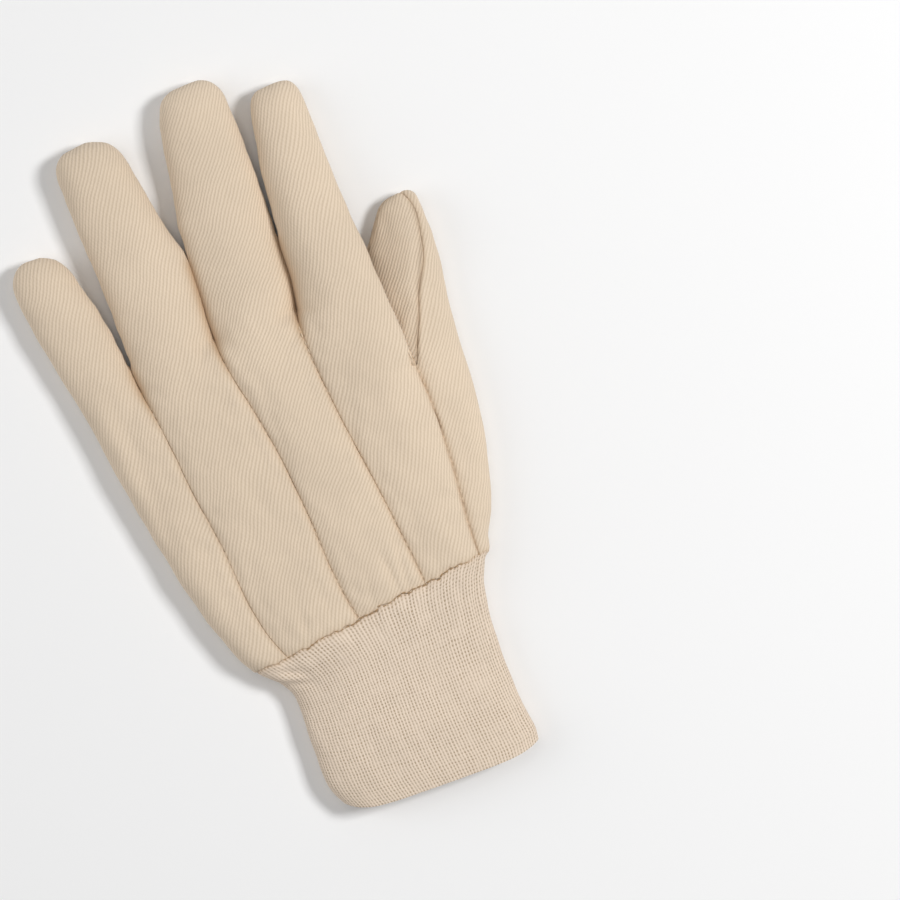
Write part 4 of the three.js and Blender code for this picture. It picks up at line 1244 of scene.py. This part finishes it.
def math_node(tree: bpy.types.NodeTree, operation: str, first: object, second: object = None) -> object:
    """Adds a Math node and returns its output.

    Args:
        tree: the node tree.
        operation: the node's operation.
        first: a socket or a number.
        second: a socket or a number, or None.

    Returns:
        The node's output socket.
    """
    node = tree.nodes.new("ShaderNodeMath")
    node.operation = operation
    for place, value in enumerate((first, second)):
        if value is None:
            continue
        if isinstance(value, (int, float)):
            node.inputs[place].default_value = value
        else:
            tree.links.new(value, node.inputs[place])
    return node.outputs[0]


def group_with(name: str, inputs: tuple[tuple[str, str, float], ...],
               outputs: tuple[tuple[str, str], ...]) -> tuple[bpy.types.NodeTree, object, object]:
    """Starts a shader node group.

    Args:
        name: the group's name.
        inputs: name, socket type and default value of each input.
        outputs: name and socket type of each output.

    Returns:
        The tree, its input node and its output node.
    """
    tree = bpy.data.node_groups.new(name, "ShaderNodeTree")
    for label, kind, value in inputs:
        socket = tree.interface.new_socket(label, in_out="INPUT", socket_type=kind)
        if kind == "NodeSocketFloat":
            socket.default_value = value
    for label, kind in outputs:
        tree.interface.new_socket(label, in_out="OUTPUT", socket_type=kind)
    return tree, tree.nodes.new("NodeGroupInput"), tree.nodes.new("NodeGroupOutput")


def noise_node(tree: bpy.types.NodeTree, vector: object, scale: float, detail: float = 2.0) -> object:
    """Adds a noise texture and returns its factor output."""
    node = tree.nodes.new("ShaderNodeTexNoise")
    node.inputs["Scale"].default_value = scale
    node.inputs["Detail"].default_value = detail
    tree.links.new(vector, node.inputs["Vector"])
    return node.outputs["Fac"]


def mix_node(tree: bpy.types.NodeTree, factor: object, first: object, second: object,
             blend: str = "MIX") -> object:
    """Adds a Mix node for colours and returns its output.

    Args:
        tree: the node tree.
        factor: a socket or a number.
        first: the colour at 0, a socket or three numbers.
        second: the colour at 1, a socket or three numbers.
        blend: how the second is laid over the first.

    Returns:
        The node's output socket.
    """
    node = tree.nodes.new("ShaderNodeMix")
    node.data_type = "RGBA"
    node.blend_type = blend
    for name, value in (("Factor", factor), ("A", first), ("B", second)):
        if isinstance(value, bpy.types.NodeSocket):
            tree.links.new(value, node.inputs[name])
        else:
            node.inputs[name].default_value = value if name == "Factor" else (*value, 1)
    return node.outputs["Result"]


def weighted(tree: bpy.types.NodeTree, terms: tuple[tuple[object, float], ...]) -> object:
    """Adds up sockets, each times its weight.

    Args:
        tree: the node tree.
        terms: pairs of a socket and its weight.

    Returns:
        The sum's output socket.
    """
    total = None
    for value, weight in terms:
        term = value if weight == 1 else math_node(tree, "MULTIPLY", value, weight)
        total = term if total is None else math_node(tree, "ADD", total, term)
    return total


def centred(tree: bpy.types.NodeTree, value: object, reach: float) -> object:
    """Turns a share of 0 to 1 into a value round zero, reach wide."""
    return math_node(tree, "MULTIPLY", math_node(tree, "SUBTRACT", value, 0.5), reach)


def turns_of(tree: bpy.types.NodeTree, place: object, pitch: object) -> object:
    """Turns a place in millimetres into an angle, one full turn per pitch."""
    return math_node(tree, "MULTIPLY", math_node(tree, "DIVIDE", place, pitch), 2 * math.pi)


def scaled_and_shifted(tree: bpy.types.NodeTree, value: object, factor: float, offset: float) -> object:
    """Returns a value times a factor, plus an offset."""
    output = math_node(tree, "MULTIPLY_ADD", value, factor)
    output.node.inputs[2].default_value = offset
    return output


def half_wave(tree: bpy.types.NodeTree, turns: object) -> object:
    """Makes a wave between 0 and 1 that peaks at each full turn."""
    return scaled_and_shifted(tree, math_node(tree, "COSINE", turns), 0.5, 0.5)


def twill_group() -> bpy.types.NodeTree:
    """Builds the weave of the twill: slanted ribs, each a row of short yarn floats.

    Returns:
        A group with the rib's height and the painted light and shade of the yarn, lit on the rib crowns and
        shaded between the ribs with random tone, from a map in millimetres.
    """
    tree, given, result = group_with(
        "twill_weave",
        (("Cloth", "NodeSocketVector", 0.0), ("Pitch", "NodeSocketFloat", 1.25),
         ("Slant", "NodeSocketFloat", 60.0)),
        (("Height", "NodeSocketFloat"), ("Shade", "NodeSocketFloat")),
    )
    cloth, pitch = given.outputs["Cloth"], given.outputs["Pitch"]
    split = tree.nodes.new("ShaderNodeSeparateXYZ")
    tree.links.new(cloth, split.inputs[0])
    angle = math_node(tree, "RADIANS", given.outputs["Slant"])
    sine, cosine = math_node(tree, "SINE", angle), math_node(tree, "COSINE", angle)
    across = math_node(tree, "SUBTRACT", math_node(tree, "MULTIPLY", split.outputs["X"], sine),
                       math_node(tree, "MULTIPLY", split.outputs["Y"], cosine))
    along = math_node(tree, "ADD", math_node(tree, "MULTIPLY", split.outputs["X"], cosine),
                      math_node(tree, "MULTIPLY", split.outputs["Y"], sine))
    drift = centred(tree, noise_node(tree, cloth, 0.35, 3.0), 0.45)
    swing = centred(tree, noise_node(tree, cloth, 0.04, 1.0), 4.0)
    turns = turns_of(tree, weighted(tree, ((across, 1), (drift, 1), (swing, 1))), pitch)
    rib = math_node(tree, "POWER", half_wave(tree, turns), 0.7)
    bead = half_wave(tree, weighted(tree, ((turns_of(tree, along, pitch), 1), (turns, 0.5))))
    fuzz = noise_node(tree, cloth, 4.2, 4.0)
    height = weighted(tree, ((rib, 0.75), (bead, 0.15), (fuzz, 0.45)))
    tree.links.new(height, result.inputs["Height"])
    # Painted light and shade: lit rib crowns and beads, shaded hollows between the ribs, and random tone from
    # the fuzz.
    shade = weighted(tree, ((rib, 0.8), (bead, 0.12), (centred(tree, fuzz, 1.35), 1)))
    tree.links.new(shade, result.inputs["Shade"])
    return tree


def knit_group() -> bpy.types.NodeTree:
    """Builds the knit: wales of slanted loop legs with a small hole beside each loop.

    Returns:
        A group with the height and the painted shade, dark in the holes and between the wales with random
        tone, from a map in millimetres.
    """
    tree, given, result = group_with(
        "rib_knit",
        (("Cloth", "NodeSocketVector", 0.0), ("Wale", "NodeSocketFloat", 1.25),
         ("Course", "NodeSocketFloat", 0.95)),
        (("Height", "NodeSocketFloat"), ("Shade", "NodeSocketFloat")),
    )
    cloth = given.outputs["Cloth"]
    split = tree.nodes.new("ShaderNodeSeparateXYZ")
    tree.links.new(cloth, split.inputs[0])
    drift = centred(tree, noise_node(tree, cloth, 0.25, 3.0), 1.4)
    aside = centred(tree, noise_node(tree, cloth, 0.3, 3.0), 0.9)
    shifted = math_node(tree, "ADD", split.outputs["X"], aside)
    wale = turns_of(tree, shifted, given.outputs["Wale"])
    ridge = half_wave(tree, wale)
    lean = math_node(tree, "ABSOLUTE", math_node(tree, "SINE", math_node(tree, "MULTIPLY", wale, 0.5)))
    row = weighted(tree, ((split.outputs["Y"], 1), (drift, 1), (lean, 0.45)))
    loop = half_wave(tree, turns_of(tree, row, given.outputs["Course"]))
    gap = math_node(tree, "SUBTRACT", 1.0, ridge)
    streak = tree.nodes.new("ShaderNodeCombineXYZ")
    tree.links.new(split.outputs["X"], streak.inputs["X"])
    tree.links.new(math_node(tree, "MULTIPLY", split.outputs["Y"], 0.22), streak.inputs["Y"])
    band = tree.nodes.new("ShaderNodeCombineXYZ")
    tree.links.new(math_node(tree, "MULTIPLY", split.outputs["X"], 0.12), band.inputs["X"])
    tree.links.new(row, band.inputs["Y"])
    both = weighted(tree, ((noise_node(tree, streak.outputs["Vector"], 0.32, 3.0), 0.55),
                           (noise_node(tree, band.outputs["Vector"], 0.55, 3.0), 0.45)))
    openness = scaled_and_shifted(tree, both, 3.0, -0.85)
    openness.node.use_clamp = True
    pit = math_node(tree, "MULTIPLY", math_node(tree, "POWER", gap, 1.5),
                    math_node(tree, "POWER", loop, 1.6))
    hole = math_node(tree, "MULTIPLY", pit, openness)
    fuzz = noise_node(tree, cloth, 3.0, 3.0)
    height = weighted(tree, ((ridge, 0.45), (hole, -0.9), (loop, -0.2), (fuzz, 0.3)))
    tree.links.new(height, result.inputs["Height"])
    # Painted shade: dark in each hole and between the wales, with random tone.
    darkened = math_node(tree, "SUBTRACT", 1.05, math_node(tree, "MULTIPLY", hole, 0.9))
    shade = weighted(tree, ((darkened, 1), (gap, -0.42), (centred(tree, fuzz, 0.5), 1)))
    tree.links.new(shade, result.inputs["Shade"])
    return tree


@dataclass(frozen=True)
class ClothFinish:
    """A cotton cloth's colours and weave.

    Attributes:
        name: the material's name.
        light: colour of the yarn's crown, with painted light.
        dark: colour between the yarns and in the knit's holes, in painted shade.
        first: the weave group's first size, pitch or wale.
        second: its second size, slant or course.
        relief: height of the weave in metres.
    """

    name: str
    light: tuple[float, float, float]
    dark: tuple[float, float, float]
    first: float
    second: float
    relief: float = 0.0002

    def material(self, weave: bpy.types.NodeTree) -> bpy.types.Material:
        """Builds the material around a weave group.

        Args:
            weave: the group of the twill or the knit.

        Returns:
            The material.
        """
        material = bpy.data.materials.new(self.name)
        material.use_nodes = True
        tree = material.node_tree
        shader = tree.nodes["Principled BSDF"]
        for name, value in (("Roughness", 0.95), ("Specular IOR Level", 0.12), ("Sheen Weight", 0.12),
                            ("Sheen Roughness", 0.6)):
            shader.inputs[name].default_value = value
        cloth = tree.nodes.new("ShaderNodeUVMap")
        cloth.uv_map = ClothMesh.CLOTH_MAP
        group = tree.nodes.new("ShaderNodeGroup")
        group.node_tree = weave
        group.inputs[1].default_value = self.first
        group.inputs[2].default_value = self.second
        tree.links.new(cloth.outputs["UV"], group.inputs["Cloth"])
        place = tree.nodes.new("ShaderNodeTexCoord")
        patches = tree.nodes.new("ShaderNodeMapRange")
        for name, value in (("From Min", 0.3), ("From Max", 0.7), ("To Min", 0.955), ("To Max", 1.03)):
            patches.inputs[name].default_value = value
        tree.links.new(noise_node(tree, place.outputs["Object"], 38.0, 4.0), patches.inputs["Value"])
        seams = tree.nodes.new("ShaderNodeAttribute")
        seams.attribute_name = ClothMesh.SEAM_SHADE
        # The weave's painted light and shade: lit yarn crowns, shaded hollows between the yarns and in the
        # knit's holes, with random tone.
        woven = mix_node(tree, group.outputs["Shade"], self.dark, self.light)
        toned = mix_node(tree, 1.0, woven, patches.outputs["Result"], "MULTIPLY")
        # Painted shade, brown, in the seams' grooves and the folds between pressed fingers.
        painted_shade = mix_node(tree, seams.outputs["Fac"], toned, PAINTED_SHADE_BROWN)
        tree.links.new(painted_shade, shader.inputs["Base Color"])
        bump = tree.nodes.new("ShaderNodeBump")
        bump.inputs["Strength"].default_value = 0.75
        bump.inputs["Distance"].default_value = self.relief
        tree.links.new(group.outputs["Height"], bump.inputs["Height"])
        tree.links.new(bump.outputs["Normal"], shader.inputs["Normal"])
        return material


def thread_material(name: str, colour: tuple[float, float, float]) -> bpy.types.Material:
    """Builds a sewing thread's material, with a fine twist.

    Args:
        name: the material's name.
        colour: the thread's colour.

    Returns:
        The material.
    """
    material = bpy.data.materials.new(name)
    material.use_nodes = True
    tree = material.node_tree
    shader = tree.nodes["Principled BSDF"]
    shader.inputs["Roughness"].default_value = 0.8
    place = tree.nodes.new("ShaderNodeTexCoord")
    twist = noise_node(tree, place.outputs["Object"], 2200.0, 2.0)
    darkened, lit = [value * 0.7 for value in colour], [min(value * 1.2, 1) for value in colour]
    tree.links.new(mix_node(tree, twist, darkened, lit), shader.inputs["Base Color"])
    return material


# Lit and shaded copies of each cotton for the weave's painted light and shade, a brown for the painted shade
# of seams and folds, and the colours of two threads.
LIT_COTTON = (0.81, 0.672, 0.525)
SHADED_COTTON = (0.62, 0.497, 0.362)
LIT_KNIT = (0.81, 0.678, 0.553)
SHADED_KNIT = (0.42, 0.31, 0.20)
PAINTED_SHADE_BROWN = (0.46, 0.285, 0.14)
PALE_THREAD = (0.72, 0.575, 0.42)
BROWN_THREAD = (0.40, 0.26, 0.14)


class Glove:
    """The whole glove: its sheets, its sewing and its finishes."""

    SEWN_REACH = 0.06
    STITCH_END = 2.5

    def __init__(self) -> None:
        """Builds the sheets and finds where they lie in the row's frame."""
        self.form = GloveForm()
        self.knit = KnitCuff()
        form = self.form
        uppers = [form.upper_patch(number) for number in range(4)]
        lowers = [form.lower_patch(number) for number in range(4)]
        self.uppers, self.lowers = uppers, lowers
        self.thumb_outer, self.thumb_inner = form.thumb_outer_patch(), form.thumb_inner_patch()
        self.cuff = self.knit.patch(form)
        self.sheets = {
            "body_panel": Sheet("body", [uppers[0], uppers[3], *lowers, form.web_patch()], SIZES.cloth_wall),
            "ring_back_strip": Sheet("ring_strip", [uppers[1]], SIZES.cloth_wall),
            "middle_back_strip": Sheet("middle_strip", [uppers[2]], SIZES.cloth_wall),
            "thumb_outer_panel": Sheet("thumb_outer", [self.thumb_outer], SIZES.cloth_wall),
            "thumb_inner_panel": Sheet("thumb_inner", [self.thumb_inner], SIZES.cloth_wall),
            "knit_cuff": Sheet("cuff", [self.cuff], SIZES.knit_wall),
        }
        share_normals(list(self.sheets.values()))
        every = np.concatenate([sheet.points for sheet in self.sheets.values()])
        low, high = np.array(CAD_BOX[0]) / MM, np.array(CAD_BOX[1]) / MM
        middle = (low + high) / 2 - (every.min(axis=0) + every.max(axis=0)) / 2
        self.offset = np.array([middle[0], middle[1], low[2]])
        self.relief = Relief(self._seam_lines(), self.form)
        self.stitches = StitchWork(self.offset)
        self.border_points, self.border_normals = self._border_normals()

    def _finger_seams(self) -> list[np.ndarray]:
        """Returns the seams that lie inside the body panel, beside the little finger and forefinger."""
        form = self.form
        lines = []
        for number, column in ((0, -1), (3, 0)):
            finger = form.fingers[number]
            crotch = finger.right_crotch if number == 0 else finger.left_crotch
            rows = np.array(form.rows_of(finger))
            lines.append(self.lowers[number].points[rows >= crotch - 1e-6][:, column])
        return lines

    def _seam_lines(self) -> list[np.ndarray]:
        """Returns every line along which the cloth is sewn."""
        lines = self._finger_seams()
        for name, sheet in self.sheets.items():
            if name == "knit_cuff":
                continue
            lines.extend(np.array([sheet.points[start], sheet.points[end]]) for start, end in sheet.border)
        return lines

    def _border_normals(self) -> tuple[KDTree, np.ndarray]:
        """Returns the points on the sheets' borders and their shared normals."""
        points, normals = [], []
        for sheet in self.sheets.values():
            for number in sheet.inward:
                points.append(sheet.points[number])
                normals.append(sheet.normals[number])
        tree = KDTree(len(points))
        for number, point in enumerate(points):
            tree.insert(Vector(point), number)
        tree.balance()
        return tree, np.array(normals)

    def _sunk(self, line: np.ndarray, depth: float) -> np.ndarray:
        """Returns a seam line moved below the surface.

        Args:
            line: the line, in millimetres.
            depth: how far below.

        Returns:
            The moved line.
        """
        numbers = [self.border_points.find(Vector(point))[1] for point in line]
        return line - self.border_normals[numbers] * depth

    def _sewn_lines(self) -> dict[Seam, list[np.ndarray]]:
        """Returns the lines of sewing of each kind."""
        form, hand = self.form, SIZES.hand_length
        turned, plain = [], []
        rows = [np.array(form.rows_of(finger)) for finger in form.fingers]
        for number in range(3):
            below = rows[number] <= form.fingers[number].right_crotch + 1e-6
            plain.append(self.uppers[number].points[below][:, -1])
        below_tip = [rows[number] < finger.tip - self.STITCH_END
                     for number, finger in enumerate(form.fingers)]
        for number in (1, 2):
            finger = form.fingers[number]
            for crotch, column in ((finger.left_crotch, 0), (finger.right_crotch, -1)):
                sewn = (rows[number] > crotch + 0.8) & below_tip[number]
                turned.append(self.uppers[number].points[sewn][:, column])
        turned.append(self.lowers[0].points[(rows[0] > SIZES.little_crotch) & below_tip[0]][:, -1])
        turned.append(self.lowers[3].points[(rows[3] > hand) & below_tip[3]][:, 0])
        turned.append(self.thumb_outer.points[:-6, -1])
        plain.append(self.thumb_outer.points[:, 0])
        return {Seam.TURNED: turned, Seam.TOPPED: plain, Seam.OVERLOCK: [self.cuff.points[-1]]}

    @staticmethod
    def _waved(line: np.ndarray, pitch: float, reach: float) -> np.ndarray:
        """Returns a line resampled finely and waved along the hand.

        Args:
            line: the line, in millimetres.
            pitch: length of one wave.
            reach: its height either way.

        Returns:
            The waved line.
        """
        length = GloveForm.arc_from(line, 0)
        even = np.arange(0, length[-1], 0.3)
        fine = np.stack([np.interp(even, length, line[:, axis]) for axis in range(3)], axis=1)
        fine[:, 1] += reach * np.sin(2 * math.pi * even / pitch) + wrist_gather(fine)
        return fine

    def sew(self) -> None:
        """Lays the stitches of every seam."""
        lines = self._sewn_lines()
        pale = thread_material("pale_thread", PALE_THREAD)
        brown = thread_material("brown_thread", BROWN_THREAD)
        fingers = [self._sunk(line, 0.5) for line in lines[Seam.TURNED]]
        back = [self._sunk(line, 0.85) for line in lines[Seam.TOPPED]]
        wrist = [self._waved(self._sunk(line, 0.6), 5.2, 0.3) for line in lines[Seam.OVERLOCK]]
        plans = (
            ("finger_stitches", fingers, 2.8, 1.9, 0.22, brown),
            ("back_stitches", back, 3.0, 2.0, 0.2, pale),
            ("wrist_stitches", wrist, 2.0, 1.7, 0.3, brown),
        )
        for name, paths, pitch, length, radius, thread in plans:
            piece = self.stitches.lay(name, paths, pitch, length, radius, thread)
            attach(piece, "root")
            LOG.info("%s: %d faces", name, len(piece.data.polygons))

    def _closed_seams(self) -> dict[str, np.ndarray]:
        """Returns each sheet's points with all relief, drawn together where sheets are sewn."""
        outers = {}
        for node, sheet in self.sheets.items():
            outer = sheet.points + sheet.normals * self.relief.height(sheet.points, sheet.normals)[:, None]
            outer[:, 1] += wrist_gather(sheet.points)
            outer[:, 2] = np.maximum(outer[:, 2], 0.0)
            outers[node] = outer
        owners = [(node, number) for node, sheet in self.sheets.items() for number in sheet.inward]
        moved = [outers[node][number].copy() for node, number in owners]
        for node, number in owners:
            sheet = self.sheets[node]
            near = self.border_points.find_range(Vector(sheet.points[number]), self.SEWN_REACH)
            outers[node][number] = np.mean([moved[other] for _, other, _ in near], axis=0)
            outers[node][number] += sheet.inward[number] * SIZES.seam_gap / 2
        return outers

    def build_sheets(self) -> None:
        """Builds the cloth pieces and puts each in place of its node."""
        twill, knit = twill_group(), knit_group()
        finishes = {
            "body_panel": ClothFinish("twill_body", LIT_COTTON, SHADED_COTTON, 1.29, 62.0),
            "ring_back_strip": ClothFinish("twill_ring_strip", LIT_COTTON, SHADED_COTTON, 1.26, 63.0),
            "middle_back_strip": ClothFinish("twill_middle_strip", LIT_COTTON, SHADED_COTTON, 1.2, 54.0),
            "thumb_outer_panel": ClothFinish("twill_thumb", LIT_COTTON, SHADED_COTTON, 1.2, 58.0),
            "thumb_inner_panel": ClothFinish("twill_thumb_inner", LIT_COTTON, SHADED_COTTON, 1.04, 55.0),
            "knit_cuff": ClothFinish("knit", LIT_KNIT, SHADED_KNIT, self.knit.wale_pitch,
                                     self.knit.course_pitch),
        }
        maker = ClothMesh(self.offset)
        outers = self._closed_seams()
        for node, sheet in self.sheets.items():
            piece = maker.build(sheet, outers[node], self.relief.shade(sheet.points))
            group = knit if node == "knit_cuff" else twill
            piece.data.materials.append(finishes[node].material(group))
            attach(piece, "root")
            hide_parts(node)
            LOG.info("%s replaces %s: %d faces", piece.name, node, len(piece.data.polygons))


def build_floor() -> None:
    """Lays the pale floor."""
    size = 3.0
    mesh = bpy.data.meshes.new("floor")
    corners = [(-size, -size, 0), (size, -size, 0), (size, size, 0), (-size, size, 0)]
    mesh.from_pydata(corners, [], [(0, 1, 2, 3)])
    floor = bpy.data.objects.new("floor", mesh)
    bpy.context.scene.collection.objects.link(floor)
    material = bpy.data.materials.new("pale_floor")
    material.use_nodes = True
    shader = material.node_tree.nodes["Principled BSDF"]
    shader.inputs["Base Color"].default_value = (0.9, 0.9, 0.9, 1)
    shader.inputs["Roughness"].default_value = 0.9
    shader.inputs["Specular IOR Level"].default_value = 0.0
    mesh.materials.append(material)


@dataclass(frozen=True)
class Studio:
    """Camera and lights, in millimetres, degrees and watts."""

    scale: float = 0.35
    lean: float = 19.6
    view_middle: tuple[float, float] = (43.6, 44.1)
    camera_height: float = 1600.0
    picture: int = 900

    def build(self, offset: np.ndarray) -> None:
        """Places the camera straight above the glove and the soft lights.

        Args:
            offset: where the glove's own frame lies in the row's frame, in millimetres.
        """
        scene = bpy.context.scene
        scene.view_settings.view_transform = "Standard"
        data = bpy.data.cameras.new("camera")
        data.type = "PERSP"
        data.sensor_width = 36.0
        data.lens = data.sensor_width * (self.camera_height - 8) / (self.scale * self.picture)
        camera = bpy.data.objects.new("camera", data)
        x, y = (np.array(self.view_middle) + offset[:2]) * MM
        camera.location = (x, y, self.camera_height * MM)
        camera.rotation_euler = (0.0, 0.0, -math.radians(self.lean))
        scene.collection.objects.link(camera)
        scene.camera = camera
        self._light("key", (1.05, -0.05, 1.2), 0.36, 16.5)
        self._light("fill", (-0.2, 0.4, 2.3), 1.3, 7.0)
        self._light("side", (-1.5, 0.5, 0.95), 1.6, 11.0)
        world = bpy.data.worlds.new("soft_light")
        world.use_nodes = True
        world.node_tree.nodes["Background"].inputs["Color"].default_value = (1, 1, 1, 1)
        world.node_tree.nodes["Background"].inputs["Strength"].default_value = 0.25
        scene.world = world

    @staticmethod
    def _light(name: str, place: tuple[float, float, float], size: float, power: float) -> None:
        """Adds one square area light that looks at the glove."""
        data = bpy.data.lights.new(name, "AREA")
        data.size = size
        data.energy = power
        light = bpy.data.objects.new(name, data)
        light.location = place
        light.rotation_euler = (-Vector(place)).to_track_quat("-Z", "Y").to_euler()
        bpy.context.scene.collection.objects.link(light)


def main() -> None:
    """Builds the glove, its sewing, the floor and the studio."""
    logging.basicConfig(level=logging.INFO)
    glove = Glove()
    glove.build_sheets()
    glove.sew()
    build_floor()
    Studio().build(glove.offset)


if __name__ == "__main__":
    main()
